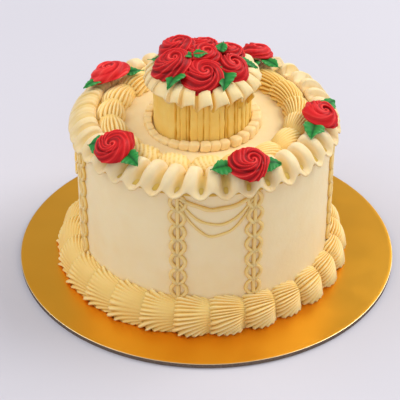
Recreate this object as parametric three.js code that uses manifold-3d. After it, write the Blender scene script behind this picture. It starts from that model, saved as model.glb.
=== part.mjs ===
// A round buttercream celebration cake on a gold cake board: shell borders, a top ruffle,
// string work down the side, a small pleated tier, and piped roses with leaves.
// Millimetres, +Z up. The origin is the middle of the board's underside, the front is -Y.
import * as THREE from 'three';
import { mergeVertices } from 'three/addons/utils/BufferGeometryUtils.js';
import Module from 'manifold-3d';

const wasm = await Module();
wasm.setup();

const CLEARANCE = 0.3;

// The board, a 12 inch cake drum of thin card
const BOARD_RADIUS = 152.4;
const BOARD_THICKNESS = 4;
const BOARD_SEGMENTS = 72;

// The cake stands a little off the middle of its board
const CAKE_CENTRE = new THREE.Vector3(-2.2, -1.5, 0);
const CAKE_RADIUS = 100.5;
const CAKE_TOP = 126;
const CAKE_EDGE = 3;
const CAKE_SEGMENTS = 48;

// Shell border round the foot
const FOOT_SHELLS = 26;
const FOOT_FIRST_NOTCH = 272.5;
const FOOT_WIDTH = 17.5;
const FOOT_HEIGHT = 24.5;
const FOOT_FLUTES = 5;
const FOOT_FLUTE_DEPTH = 1.3;

// Ruffle over the top edge
const RUFFLE_WAVES = 39;
const RUFFLE_INNER = 83.5;
const RUFFLE_LEAN = 3.5;
const RUFFLE_HEM = 120.5;
const RUFFLE_STEPS = [1, 0.45, -1, 0.45];
const RUFFLE_OUTSIDE = [
  // radius and z of the ribbon, how far each moves with a wave, and the share of the lean
  { radius: 105, out: 2.4, z: 123.5, up: -1.6, lean: 0 },
  { radius: 100.2, out: 2.6, z: 131.5, up: 1.6, lean: 0.5 },
  { radius: 93, out: 1.4, z: 136, up: 3, lean: 0.85 },
  { radius: 84.7, out: 0.8, z: 135, up: 3.2, lean: 1 },
];
const RUFFLE_CREST = { radius: 92, z: 140.4, fall: 0.043 };
const RUFFLE_SEAT = { radii: [108, 104, 99, 92], bottom: 120 };

// Shell border inside the ruffle
const INNER_SHELLS = 19;
const INNER_FIRST_NOTCH = 281;
const INNER_BORDER_RADIUS = 73.1;
const INNER_HALF_WIDTH = 10;
const INNER_HEIGHT = 11;
const INNER_FLUTES = 4;
const INNER_FLUTE_DEPTH = 0.9;

// Strings piped on the side: four pairs of chain columns, three swags within each pair
const STRING_HALF_WIDTH = 1.1;
const STRING_HEIGHT = 1.7;
const STRING_ROOT = 0.7;
const PAIR_ANGLES = [275.5, 5.5, 95.5, 185.5];
const COLUMN_OFFSET = 16.5;
const COLUMN_BOTTOM = 31;
const COLUMN_TOP = 119;
const COLUMN_LOOPS = 7;
const LOOP_NECK = 2.4;
const LOOP_BULGE = 3.4;
const SWAGS = [
  { start: 118.5, low: 110 },
  { start: 114.5, low: 95.5 },
  { start: 110.5, low: 85.5 },
];

// The small tier in the middle
const TIER_CENTRE = new THREE.Vector3(-3.6, -4.5, 0);
const TIER_RADIUS = 38.4;
const TIER_SHOULDER = 166;
const TIER_CROWN = 177;
const TIER_DOME_EDGE = { radius: 30, z: 171 };
const TIER_PLEATS = 32;
const TIER_PLEAT_DEPTH = 1.5;
const BEADS = 33;
const BEAD_RADIUS = 45.4;
const BEAD_TOP = 133;
const BEAD_STEPS = [-1, 0.8, 0.8];
const COLLAR_PLEATS = 22;
const COLLAR_STEPS = [1, 0.8, -1, 0.2];
const COLLAR_EDGE_RADIUS = 46.5;
const COLLAR_FOLD_RADIUS = 41;
const COLLAR_INSIDE = { radius: 31, z: 173.6 };
const CROWN_CREST = { radius: 0, z: 177.8, fall: 0.0021 };
const CROWN_SEAT = { radii: [48, 38, 26], bottom: 158 };
const SEAT_SEGMENTS = 36;

const ICING = { color: 0xf0dca6, roughness: 0.55, metalness: 0 };
const RED_ICING = { color: 0xc8202c, roughness: 0.45, metalness: 0 };
const GREEN_ICING = { color: 0x2f8f48, roughness: 0.5, metalness: 0 };
const GOLD_FOIL = { color: 0xd9942a, roughness: 0.32, metalness: 0.8 };

// Each rose: distance from its axis and height, as shares of its radius and height, from the eye
// to the foot, with a spiral ridge
const ROSE_PROFILE = [
  [0.25, 0.9],
  [0.5, 0.97],
  [0.78, 0.8],
  [1, 0.3],
  [0.93, 0],
];
const ROSE_EYE = 0.78;
const ROSE_STEM_WIDTH = 0.6;
const ROSE_COLUMNS = 10;
const ROSE_TURNS = 1.6;
const ROSE_RIDGE_OUT = 0.05;
const ROSE_RIDGE_UP = 0.09;

// Roses on the ruffle: angle round the cake, distance from its axis, radius of the rose
const RIM_ROSES = [
  { angle: 290, ring: 93, radius: 15.2 },
  { angle: 349, ring: 90, radius: 15.2 },
  { angle: 61.5, ring: 88.5, radius: 14 },
  { angle: 147.5, ring: 87, radius: 17 },
  { angle: 225, ring: 92, radius: 15.7 },
];
const RIM_ROSE_BASE = 137;
const RIM_ROSE_HEIGHT = 13;
const RIM_ROSE_TILT = 20;
const RIM_ROSE_STEM = 6;

// Roses on the small tier: place from the tier's axis, foot height, radius, height
const CROWN_ROSES = [
  { angle: 272, ring: 20, base: 171, radius: 18.2, height: 14, tilt: 18 },
  { angle: 207, ring: 23, base: 171, radius: 16, height: 14, tilt: 20 },
  { angle: 0, ring: 0, base: 176, radius: 15, height: 15, tilt: 0 },
  { angle: 333, ring: 24, base: 171, radius: 14, height: 15, tilt: 22 },
  { angle: 140, ring: 23, base: 172, radius: 16.5, height: 17.5, tilt: 12 },
  { angle: 40, ring: 25, base: 171, radius: 13.5, height: 13, tilt: 18 },
  { angle: 90, ring: 25, base: 171, radius: 13.5, height: 13, tilt: 18 },
];
const CROWN_ROSE_STEM = 5;

// Each leaf: half widths and edge ripples at its stations, as shares of its length and width
const LEAF_THICKNESS = 1.3;
const LEAF_CUP = 0.12;
const LEAF_RIPPLE = 0.08;
const LEAF_STATIONS = [
  { along: 0, half: 0.55, ripple: 0.1 },
  { along: 0.36, half: 1, ripple: 0.9 },
  { along: 0.7, half: 0.64, ripple: -0.4 },
];

const radians = THREE.MathUtils.degToRad;

// A repeatable value from -1 to 1 for each whole number, so that hand-piped pieces differ.
function wobble(index, seed) {
  const value = Math.sin(index * 12.9898 + seed * 78.233) * 43758.5453;
  return (value - Math.floor(value)) * 2 - 1;
}

function polar(centre, radius, degrees, z) {
  const angle = radians(degrees);
  return new THREE.Vector3(centre.x + radius * Math.cos(angle), centre.y + radius * Math.sin(angle), z);
}

function geometryOf(points, triangles) {
  const geometry = new THREE.BufferGeometry().setFromPoints(points);
  geometry.setIndex(triangles);
  geometry.computeVertexNormals();
  return geometry;
}

// A closed ring: pointAt(column, row) gives the section's points, counter-clockwise when the
// radius runs to the right and Z up.
function closedRing(columns, rows, pointAt) {
  const points = [];
  const triangles = [];
  for (let i = 0; i < columns; i += 1) {
    for (let j = 0; j < rows; j += 1) {
      points.push(pointAt(i, j));
      const a = i * rows + j;
      const b = ((i + 1) % columns) * rows + j;
      const c = ((i + 1) % columns) * rows + ((j + 1) % rows);
      const d = i * rows + ((j + 1) % rows);
      triangles.push(a, b, c, a, c, d);
    }
  }
  return geometryOf(points, triangles);
}

// A closed body round an upright axis, from a foot point through rings of points to a head point.
function closedStack(foot, head, columns, rows, pointAt) {
  const points = [foot, head];
  const triangles = [];
  for (let i = 0; i < columns; i += 1) {
    const next = (i + 1) % columns;
    for (let j = 0; j < rows; j += 1) {
      points.push(pointAt(i, j));
    }
    const column = 2 + i * rows;
    const nextColumn = 2 + next * rows;
    triangles.push(0, nextColumn, column);
    triangles.push(1, column + rows - 1, nextColumn + rows - 1);
    for (let j = 0; j + 1 < rows; j += 1) {
      triangles.push(column + j, nextColumn + j, nextColumn + j + 1);
      triangles.push(column + j, nextColumn + j + 1, column + j + 1);
    }
  }
  return geometryOf(points, triangles);
}

function toManifold(geometry) {
  const bare = geometry.clone();
  bare.deleteAttribute('normal');
  bare.deleteAttribute('uv');
  const merged = mergeVertices(bare, 1e-4);
  return new wasm.Manifold(new wasm.Mesh({
    numProp: 3,
    vertProperties: new Float32Array(merged.attributes.position.array),
    triVerts: new Uint32Array(merged.index.array),
  }));
}

function fromManifold(manifold) {
  const mesh = manifold.getMesh();
  const geometry = new THREE.BufferGeometry();
  geometry.setAttribute('position', new THREE.BufferAttribute(new Float32Array(mesh.vertProperties), 3));
  geometry.setIndex(new THREE.BufferAttribute(new Uint32Array(mesh.triVerts), 1));
  geometry.computeVertexNormals();
  return geometry;
}

// Cuts every cutter out of a piece.
function trimmed(geometry, cutters) {
  let body = toManifold(geometry);
  for (const cutter of cutters) {
    body = body.subtract(toManifold(cutter));
  }
  return fromManifold(body);
}

// Board

function makeBoard() {
  const profile = [
    new THREE.Vector2(0, 0),
    new THREE.Vector2(BOARD_RADIUS, 0),
    new THREE.Vector2(BOARD_RADIUS, BOARD_THICKNESS),
    new THREE.Vector2(0, BOARD_THICKNESS),
  ];
  return new THREE.LatheGeometry(profile, BOARD_SEGMENTS).rotateX(Math.PI / 2);
}

// Cake body with its string work

function makeCakeBody() {
  const bottom = BOARD_THICKNESS + CLEARANCE;
  const rings = [
    [CAKE_RADIUS, bottom],
    [CAKE_RADIUS, CAKE_TOP - CAKE_EDGE],
    [CAKE_RADIUS - 0.3 * CAKE_EDGE, CAKE_TOP - 0.3 * CAKE_EDGE],
    [CAKE_RADIUS - CAKE_EDGE, CAKE_TOP],
  ];
  const foot = CAKE_CENTRE.clone().setZ(bottom);
  const head = CAKE_CENTRE.clone().setZ(CAKE_TOP);
  return closedStack(foot, head, CAKE_SEGMENTS, rings.length, (i, j) => (
    polar(CAKE_CENTRE, rings[j][0], (360 / CAKE_SEGMENTS) * i, rings[j][1])));
}

// One string on the cake's side. Its route is a list of { along, z }, along in millimetres round
// the side from the given angle. The section is a triangle with its root inside the cake.
function stringOnSide(angle, route) {
  const points = [];
  const triangles = [];
  const onSide = (along, z, height) => {
    const degrees = angle + THREE.MathUtils.radToDeg(along / CAKE_RADIUS);
    return polar(CAKE_CENTRE, CAKE_RADIUS + height, degrees, z);
  };
  route.forEach((here, k) => {
    const before = route[Math.max(k - 1, 0)];
    const after = route[Math.min(k + 1, route.length - 1)];
    const heading = new THREE.Vector2(after.along - before.along, after.z - before.z).normalize();
    const sideways = new THREE.Vector2(-heading.y, heading.x).multiplyScalar(STRING_HALF_WIDTH);
    points.push(
      onSide(here.along + sideways.x, here.z + sideways.y, -STRING_ROOT),
      onSide(here.along - sideways.x, here.z - sideways.y, -STRING_ROOT),
      onSide(here.along, here.z, STRING_HEIGHT),
    );
    if (k === 0) {
      triangles.push(0, 1, 2);
      return;
    }
    const a = (k - 1) * 3;
    const b = k * 3;
    for (let side = 0; side < 3; side += 1) {
      const next = (side + 1) % 3;
      triangles.push(a + side, b + side, b + next, a + side, b + next, a + next);
    }
  });
  const last = (route.length - 1) * 3;
  triangles.push(last, last + 2, last + 1);
  return geometryOf(points, triangles);
}

// Half of a chain column: loops that leave the middle string and come back to it.
function chainRoute(side) {
  const route = [];
  const pitch = (COLUMN_TOP - COLUMN_BOTTOM) / COLUMN_LOOPS;
  const stepsPerLoop = 2;
  for (let step = 0; step <= COLUMN_LOOPS * stepsPerLoop; step += 1) {
    const phase = (step % stepsPerLoop) / stepsPerLoop;
    route.push({
      along: side * (LOOP_NECK + LOOP_BULGE * Math.sin(Math.PI * phase)),
      z: COLUMN_TOP - (pitch * step) / stepsPerLoop,
    });
  }
  return route;
}

// A swag hangs between the two columns of a pair, clear of their loops.
function swagRoute({ start, low }) {
  const route = [];
  const span = CAKE_RADIUS * radians(COLUMN_OFFSET) - LOOP_NECK - LOOP_BULGE - 2 * STRING_HALF_WIDTH;
  const steps = 5;
  for (let step = 0; step <= steps; step += 1) {
    const across = (2 * step) / steps - 1;
    route.push({ along: across * span, z: low + (start - low) * across ** 2 });
  }
  return route;
}

function makeCake() {
  let cake = toManifold(makeCakeBody());
  const middleString = [{ along: 0, z: COLUMN_TOP }, { along: 0, z: COLUMN_BOTTOM }];
  for (const pairAngle of PAIR_ANGLES) {
    for (const columnAngle of [pairAngle - COLUMN_OFFSET, pairAngle + COLUMN_OFFSET]) {
      for (const route of [middleString, chainRoute(-1), chainRoute(1)]) {
        cake = cake.add(toManifold(stringOnSide(columnAngle, route)));
      }
    }
    for (const swag of SWAGS) {
      cake = cake.add(toManifold(stringOnSide(pairAngle, swagRoute(swag))));
    }
  }
  return fromManifold(cake);
}

// Shell borders. Each shell swells from a notch to its full size and sinks to the next notch.
// The samples along a shell are its notch, its steep head and its tail.
const SHELL_SAMPLES = [
  { place: 0, size: 0.64, flute: 0 },
  { place: 0.3, size: 1, flute: 1 },
  { place: 0.72, size: 0.94, flute: 1 },
];

function shellSample(column, count, firstNotch, seed) {
  const shell = Math.floor(column / SHELL_SAMPLES.length);
  const sample = SHELL_SAMPLES[column % SHELL_SAMPLES.length];
  return {
    degrees: firstNotch + (360 / count) * (shell + sample.place),
    size: sample.size * (1 + 0.04 * wobble(shell, seed)),
    flute: sample.flute,
  };
}

// Border round the foot: a quarter round against the cake's side, with flutes along each shell.
function makeFootBorder() {
  const inner = CAKE_RADIUS + CLEARANCE;
  const bottom = BOARD_THICKNESS + CLEARANCE;
  const arcSteps = FOOT_FLUTES * 2;
  return closedRing(FOOT_SHELLS * SHELL_SAMPLES.length, arcSteps + 2, (i, j) => {
    const { degrees, size, flute } = shellSample(i, FOOT_SHELLS, FOOT_FIRST_NOTCH, 1);
    if (j === 0) {
      return polar(CAKE_CENTRE, inner, degrees, bottom);
    }
    const turn = (Math.PI / 2) * ((j - 1) / arcSteps);
    const ridge = j % 2 === 1 ? FOOT_FLUTE_DEPTH / 2 : -FOOT_FLUTE_DEPTH / 2;
    const out = Math.cos(turn) ** 0.8 * (FOOT_WIDTH * size + ridge * flute);
    const rise = Math.sin(turn) ** 0.8 * (FOOT_HEIGHT * (0.35 + 0.65 * size) + ridge * flute);
    return polar(CAKE_CENTRE, inner + out, degrees, bottom + rise);
  });
}

// Border on the top: a half round between the ruffle and the bare middle of the cake.
function makeInnerBorder() {
  const bottom = CAKE_TOP + CLEARANCE;
  const arcSteps = INNER_FLUTES * 2;
  return closedRing(INNER_SHELLS * SHELL_SAMPLES.length, arcSteps + 1, (i, j) => {
    const { degrees, size, flute } = shellSample(i, INNER_SHELLS, INNER_FIRST_NOTCH, 2);
    const turn = Math.PI * (j / arcSteps);
    const ridge = j % 2 === 0 ? INNER_FLUTE_DEPTH / 2 : -INNER_FLUTE_DEPTH / 2;
    const outward = turn < Math.PI / 2 ? 1 : size;
    const across = Math.cos(turn) * (INNER_HALF_WIDTH * outward + (turn > 0 ? ridge * flute : 0));
    const rise = Math.sin(turn) * (INNER_HEIGHT * size + ridge * flute);
    return polar(CAKE_CENTRE, INNER_BORDER_RADIUS + across, degrees, bottom + Math.max(rise, 0));
  });
}

// Top ruffle: one ribbon in soft folds that wraps the cake's top edge. A wave of 1 is the back of
// a fold, and a wave of -1 the crease between two.
function makeRuffle() {
  const steps = RUFFLE_STEPS.length;
  const columns = RUFFLE_WAVES * steps;
  const inside = [
    [RUFFLE_INNER, CAKE_TOP + CLEARANCE],
    [CAKE_RADIUS + CLEARANCE, CAKE_TOP + CLEARANCE],
    [CAKE_RADIUS + CLEARANCE, RUFFLE_HEM],
  ];
  return closedRing(columns, inside.length + RUFFLE_OUTSIDE.length, (i, j) => {
    const degrees = (360 / columns) * i;
    if (j < inside.length) {
      return polar(CAKE_CENTRE, inside[j][0], degrees, inside[j][1]);
    }
    const wave = RUFFLE_STEPS[i % steps] * (1 + 0.15 * wobble(Math.floor(i / steps), 3));
    const { radius, out, z, up, lean } = RUFFLE_OUTSIDE[j - inside.length];
    return polar(CAKE_CENTRE, radius + out * wave, degrees - RUFFLE_LEAN * lean, z + up * wave);
  });
}

// The small tier: an upright pleated side and a low dome on top that carries its roses.
function makeTier() {
  const bottom = CAKE_TOP + CLEARANCE;
  const pleated = (i) => TIER_RADIUS - (i % 2) * (TIER_PLEAT_DEPTH + 0.7 * wobble(i, 4));
  const foot = TIER_CENTRE.clone().setZ(bottom);
  const head = TIER_CENTRE.clone().setZ(TIER_CROWN);
  return closedStack(foot, head, TIER_PLEATS * 2, 3, (i, j) => {
    const radius = [pleated(i), pleated(i), TIER_DOME_EDGE.radius][j];
    const z = [bottom, TIER_SHOULDER, TIER_DOME_EDGE.z][j];
    return polar(TIER_CENTRE, radius, (180 / TIER_PLEATS) * i, z);
  });
}

// Square beads round the foot of the small tier.
function makeBeads() {
  const samples = BEAD_STEPS;
  const inner = TIER_RADIUS + 2 * CLEARANCE;
  const bottom = CAKE_TOP + CLEARANCE;
  return closedRing(BEADS * samples.length, 4, (i, j) => {
    const bulge = samples[i % samples.length] * (1 + 0.2 * wobble(Math.floor(i / samples.length), 5));
    const [radius, z] = [
      [inner, bottom],
      [BEAD_RADIUS + bulge, bottom],
      [BEAD_RADIUS - 0.8 + 0.8 * bulge, BEAD_TOP - 2 + bulge],
      [inner, BEAD_TOP + 0.9 * bulge],
    ][j];
    return polar(TIER_CENTRE, radius, (360 / (BEADS * samples.length)) * i, z);
  });
}

// Collar: a pleated skirt round the shoulder of the small tier. Each pleat is a broad tab that
// stands out, with a narrow fold tucked in and hanging lower beside it.
function makeCollar() {
  const samples = COLLAR_STEPS;
  const inner = TIER_RADIUS + 2 * CLEARANCE;
  return closedRing(COLLAR_PLEATS * samples.length, 5, (i, j) => {
    const fold = samples[i % samples.length];
    const edge = THREE.MathUtils.mapLinear(fold, -1, 1, COLLAR_FOLD_RADIUS, COLLAR_EDGE_RADIUS);
    const ragged = 1.2 * wobble(Math.floor(i / samples.length), 6);
    const [radius, z] = [
      [inner, TIER_SHOULDER - 5.5],
      [edge, TIER_SHOULDER - 1.5 + 2 * fold + ragged],
      [edge - 4 + fold, TIER_SHOULDER + 5 + 1.8 * fold],
      [COLLAR_INSIDE.radius, COLLAR_INSIDE.z + 1.2 * fold],
      [inner, TIER_SHOULDER + 0.7],
    ][j];
    return polar(TIER_CENTRE, radius, (360 / (COLLAR_PLEATS * samples.length)) * i, z);
  });
}

// Height of the surface that rests on the folds' backs, at a distance from the cake's or the
// small tier's axis. Roses and leaves lie on it.
function crestHeight(crest, radius) {
  return crest.z - crest.fall * Math.max(radius - crest.radius, 0) ** 2;
}

// A plain body up to that surface, for cutting the underside of what lies on it.
function makeSeat(centre, crest, { radii, bottom }) {
  const foot = centre.clone().setZ(bottom);
  const head = centre.clone().setZ(crest.z);
  return closedStack(foot, head, SEAT_SEGMENTS, radii.length + 1, (i, j) => {
    const radius = radii[Math.max(j - 1, 0)];
    const z = j === 0 ? bottom : crestHeight(crest, radius);
    return polar(centre, radius, (360 / SEAT_SEGMENTS) * i, z);
  });
}

// A rose: a dome with a spiral ridge that winds out from its eye, and a short stem below it that
// beds it on what it lies on. Local frame: the foot's middle is the origin, +Z is the axis.
function roseGeometry(radius, height, stem, turn, grow) {
  const foot = new THREE.Vector3(0, 0, -stem - grow);
  const eye = new THREE.Vector3(0, 0, height * ROSE_EYE + grow);
  const rows = ROSE_PROFILE.length + 1;
  return closedStack(foot, eye, ROSE_COLUMNS, rows, (i, j) => {
    const degrees = (360 / ROSE_COLUMNS) * i;
    if (j === 0) {
      return polar(foot, (radius + grow) * ROSE_STEM_WIDTH, degrees, -stem - grow);
    }
    const [out, rise] = ROSE_PROFILE[ROSE_PROFILE.length - j];
    const ridge = j === 1 ? 0 : Math.cos(radians(degrees + turn) - 2 * Math.PI * ROSE_TURNS * out);
    const spread = (radius + grow) * out + ROSE_RIDGE_OUT * radius * ridge;
    return polar(foot, spread, degrees, height * rise + ROSE_RIDGE_UP * height * ridge + grow);
  });
}

function rimRose(index, grow) {
  const { angle, ring, radius } = RIM_ROSES[index];
  const geometry = roseGeometry(radius, RIM_ROSE_HEIGHT, RIM_ROSE_STEM, 70 * index, grow);
  const place = polar(CAKE_CENTRE, ring, angle, RIM_ROSE_BASE);
  return geometry.rotateY(radians(RIM_ROSE_TILT)).rotateZ(radians(angle)).translate(...place);
}

function crownRose(index, grow) {
  const { angle, ring, base, radius, height, tilt } = CROWN_ROSES[index];
  const geometry = roseGeometry(radius, height, CROWN_ROSE_STEM, 50 * index, grow);
  const place = polar(TIER_CENTRE, ring, angle, base);
  return geometry.rotateY(radians(tilt)).rotateZ(radians(angle)).translate(...place);
}

// Leaves: a pointed leaf with a sunken middle vein and a wavy edge. It lies along heightAt, which
// gives the height under each point of its plan. start is its stalk end, heading its direction.
function leafGeometry({ heading, length, width, lift, rise }, start, heightAt) {
  const points = [];
  const place = (along, across, height) => {
    const angle = radians(heading);
    const x = start.x + along * Math.cos(angle) - across * Math.sin(angle);
    const y = start.y + along * Math.sin(angle) + across * Math.cos(angle);
    points.push(new THREE.Vector3(x, y, heightAt(x, y) + lift + rise * (along / length) + height));
  };
  for (const layer of [0, LEAF_THICKNESS]) {
    for (const { along, half, ripple } of LEAF_STATIONS) {
      const reach = (width / 2) * half;
      const cup = layer + LEAF_CUP * width;
      place(along * length, reach, cup + LEAF_RIPPLE * width * ripple);
      place(along * length, 0, layer);
      place(along * length, -reach, cup - LEAF_RIPPLE * width * ripple);
    }
    place(length, 0, layer * 0.6 + LEAF_RIPPLE * width);
  }
  const layerSize = LEAF_STATIONS.length * 3 + 1;
  const tip = layerSize - 1;
  const face = [[tip - 3, tip - 2, tip], [tip - 2, tip - 1, tip]];
  for (let k = 0; k + 1 < LEAF_STATIONS.length; k += 1) {
    for (const column of [0, 1]) {
      const a = k * 3 + column;
      face.push([a, a + 1, a + 4], [a, a + 4, a + 3]);
    }
  }
  const rim = [0, 1, 2, 5, 8, tip, 6, 3];
  const triangles = [];
  for (const [a, b, c] of face) {
    triangles.push(a + layerSize, b + layerSize, c + layerSize, a, c, b);
  }
  rim.forEach((a, k) => {
    const b = rim[(k + 1) % rim.length];
    triangles.push(a, b, b + layerSize, a, b + layerSize, a + layerSize);
  });
  return geometryOf(points, triangles);
}

// Leaves beside the rim roses: which rose, the leaf's heading, how far its stalk end is from the
// rose's middle, its size, its lift over the ruffle's backs and the rise of its tip.
const RIM_LEAVES = [
  { rose: 0, heading: 190, start: 12, length: 17, width: 14, lift: 0.3, rise: 0 },
  { rose: 0, heading: 10, start: 12, length: 16, width: 14, lift: 0.3, rise: 0 },
  { rose: 1, heading: 75, start: 11, length: 16, width: 12, lift: 0.6, rise: 2 },
  { rose: 1, heading: 250, start: 10, length: 21, width: 14, lift: 0.3, rise: 0 },
  { rose: 2, heading: 312, start: 10, length: 19, width: 12, lift: 0.3, rise: 0 },
  { rose: 2, heading: 262, start: 10, length: 17, width: 10, lift: 0.6, rise: 0 },
  { rose: 3, heading: 222, start: 11, length: 20, width: 13, lift: 0.3, rise: 1 },
  { rose: 3, heading: 15, start: 12, length: 17, width: 11, lift: 0.6, rise: 1 },
  { rose: 4, heading: 155, start: 10, length: 16, width: 12, lift: 0.3, rise: 1 },
  { rose: 4, heading: 310, start: 12, length: 17, width: 15, lift: 0.3, rise: 0 },
];

function rimLeaf(leaf) {
  const { angle, ring } = RIM_ROSES[leaf.rose];
  const middle = polar(CAKE_CENTRE, ring, angle, 0);
  const start = polar(middle, leaf.start, leaf.heading, 0);
  return leafGeometry(leaf, start, (x, y) => (
    crestHeight(RUFFLE_CREST, Math.hypot(x - CAKE_CENTRE.x, y - CAKE_CENTRE.y))));
}

// Leaves round the crown roses, each from a stalk end given from the small tier's axis.
const CROWN_LEAVES = [
  { angle: 226, ring: 25, heading: 226, length: 19, width: 14, lift: 0.4, rise: -3 },
  { angle: 320, ring: 27, heading: 275, length: 20, width: 15, lift: 0.6, rise: -3 },
  { angle: 222, ring: 11, heading: 185, length: 12, width: 10, lift: 9, rise: 2 },
  { angle: 250, ring: 8.5, heading: 20, length: 13, width: 10, lift: 10, rise: 3 },
  { angle: 15, ring: 14, heading: 75, length: 12, width: 9, lift: 8, rise: 3 },
  { angle: 8, ring: 29, heading: 350, length: 14, width: 11, lift: 1.5, rise: -3 },
  { angle: 172, ring: 26, heading: 165, length: 17, width: 12, lift: 1, rise: 1 },
  { angle: 115, ring: 24, heading: 105, length: 16, width: 12, lift: 1, rise: 6 },
];

function crownLeaf(leaf) {
  const start = polar(TIER_CENTRE, leaf.ring, leaf.angle, 0);
  return leafGeometry(leaf, start, (x, y) => (
    crestHeight(CROWN_CREST, Math.hypot(x - TIER_CENTRE.x, y - TIER_CENTRE.y))));
}

// Assembly

const cakeOnBoard = new THREE.Group();

function addPiece(name, geometry, finish) {
  const mesh = new THREE.Mesh(geometry, new THREE.MeshStandardMaterial(finish));
  mesh.name = name;
  cakeOnBoard.add(mesh);
}

addPiece('cake_board', makeBoard(), GOLD_FOIL);
addPiece('cake', makeCake(), ICING);
addPiece('foot_shell_border', makeFootBorder(), ICING);
addPiece('top_ruffle', makeRuffle(), ICING);
addPiece('inner_shell_border', makeInnerBorder(), ICING);
addPiece('small_tier', makeTier(), ICING);
addPiece('tier_beads', makeBeads(), ICING);
addPiece('tier_collar', makeCollar(), ICING);

const rimSeat = makeSeat(CAKE_CENTRE, RUFFLE_CREST, RUFFLE_SEAT);
RIM_ROSES.forEach((rose, index) => {
  addPiece(`rim_rose_${index + 1}`, trimmed(rimRose(index, 0), [rimSeat]), RED_ICING);
});

const crownSeat = makeSeat(TIER_CENTRE, CROWN_CREST, CROWN_SEAT);
CROWN_ROSES.forEach((rose, index) => {
  const earlier = CROWN_ROSES.slice(0, index).map((other, k) => crownRose(k, CLEARANCE));
  addPiece(`crown_rose_${index + 1}`, trimmed(crownRose(index, 0), [crownSeat, ...earlier]), RED_ICING);
});

RIM_LEAVES.forEach((leaf, index) => {
  const geometry = trimmed(rimLeaf(leaf), [rimRose(leaf.rose, CLEARANCE)]);
  addPiece(`rim_leaf_${index + 1}`, geometry, GREEN_ICING);
});

CROWN_LEAVES.forEach((leaf, index) => {
  const roses = CROWN_ROSES.map((rose, k) => crownRose(k, CLEARANCE));
  addPiece(`crown_leaf_${index + 1}`, trimmed(crownLeaf(leaf), roses), GREEN_ICING);
});

export default cakeOnBoard;
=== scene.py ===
import math

import bpy
import numpy as np
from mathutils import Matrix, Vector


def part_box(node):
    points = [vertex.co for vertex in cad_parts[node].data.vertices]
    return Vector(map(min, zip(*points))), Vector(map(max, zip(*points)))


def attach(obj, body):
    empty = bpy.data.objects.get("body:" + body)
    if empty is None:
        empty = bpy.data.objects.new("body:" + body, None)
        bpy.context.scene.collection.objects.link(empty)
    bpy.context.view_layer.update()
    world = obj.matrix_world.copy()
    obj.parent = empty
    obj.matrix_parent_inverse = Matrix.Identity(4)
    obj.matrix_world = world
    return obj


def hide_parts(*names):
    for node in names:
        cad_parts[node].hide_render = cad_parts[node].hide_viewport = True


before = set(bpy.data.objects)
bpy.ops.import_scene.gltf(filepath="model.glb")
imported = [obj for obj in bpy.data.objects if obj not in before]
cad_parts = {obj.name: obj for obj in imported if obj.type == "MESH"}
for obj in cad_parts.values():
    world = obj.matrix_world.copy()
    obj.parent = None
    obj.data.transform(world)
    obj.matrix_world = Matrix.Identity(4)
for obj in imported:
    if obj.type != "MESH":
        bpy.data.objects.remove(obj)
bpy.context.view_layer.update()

MM = 0.001
BODY = "root"


def named_rows(names, *rows):
    """A dict for each row of values."""
    return [dict(zip(names.split(), row)) for row in rows]


# The board
BOARD_BEVEL = 0.4
CARD_TOP_GAP = 0.3
CARD_INSET = 0.2

# The cake stands a little off the middle of its board
CAKE_CENTRE = (-2.2, -1.5)
CAKE_RADIUS = 100.5
CAKE_TOP = 126
CAKE_BOTTOM = 4.3
CAKE_EDGE = 3
# The top takes a little more of the painted gold shade than the side
TOP_SHADE_TONE = 0.53

# Strings piped on the side: four pairs of chain columns, three swags within each pair
PAIR_ANGLES = (275.5, 5.5, 95.5, 185.5)
COLUMN_OFFSET = 16.5
COLUMN_BOTTOM = 28
COLUMN_TOP = 121
COLUMN_LOOPS = 7
STRING_RADIUS = 1.6
STRING_SHADE_TONE = 0.16
LOOP_NECK = 1.4
LOOP_REACH = 5.9
SWAGS = named_rows(
    "start low radius",
    (119.5, 110, 1.7),
    (116, 95.5, 1.1),
    (112, 85.5, 1.1),
)

# Shell border round the foot
FOOT_SHELLS = 26
FOOT_FIRST_NOTCH = 272.5
FOOT_INNER = 100.2
FOOT_BOTTOM = 4.0
FOOT_WIDTH = 18.1
FOOT_HEIGHT = 24.8

# Shell border inside the ruffle
INNER_SHELLS = 19
INNER_FIRST_NOTCH = 281
INNER_BORDER_RADIUS = 73.1
INNER_HALF_WIDTH = 10.2
INNER_HEIGHT = 11.2

# Ruffle over the top edge
RUFFLE_WAVES = 39
RUFFLE_THICKNESS = 1.5
RUFFLE_CREST = {"radius": 92, "z": 140.4, "fall": 0.043}

# The small tier in the middle
TIER_CENTRE = (-3.6, -4.5)
TIER_RADIUS = 38.4
TIER_SHOULDER = 166
TIER_RIBS = 46
BEADS = 33
BEAD_MIDDLE_RADIUS = 42.4
COLLAR_PLEATS = 22
COLLAR_THICKNESS = 1.3
CROWN_CREST = {"radius": 0, "z": 177.8, "fall": 0.0021}

# Roses on the ruffle. The eye is where the spiral starts, as a share of the radius from the middle,
# arms is the number of crests that wind out from it, and crisp is how deep they are.
RIM_ROSES = named_rows(
    "angle ring radius eye arms tail crisp",
    (290, 93, 15.2, (0.2, 0.05), 8, 20, 1),
    (347, 89.5, 14.7, (0.1, 0.1), 6, 130, 0.62),
    (60.4, 85.5, 13.2, (-0.1, 0.1), 6, 250, 0.6),
    (150.5, 84.5, 17, (-0.1, 0.15), 5, 200, 0.38),
    (225, 92, 15.7, (-0.1, -0.1), 8, 40, 0.85),
)
RIM_ROSE_BASE = 137
RIM_ROSE_HEIGHT = 13
RIM_ROSE_TILT = 20

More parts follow.
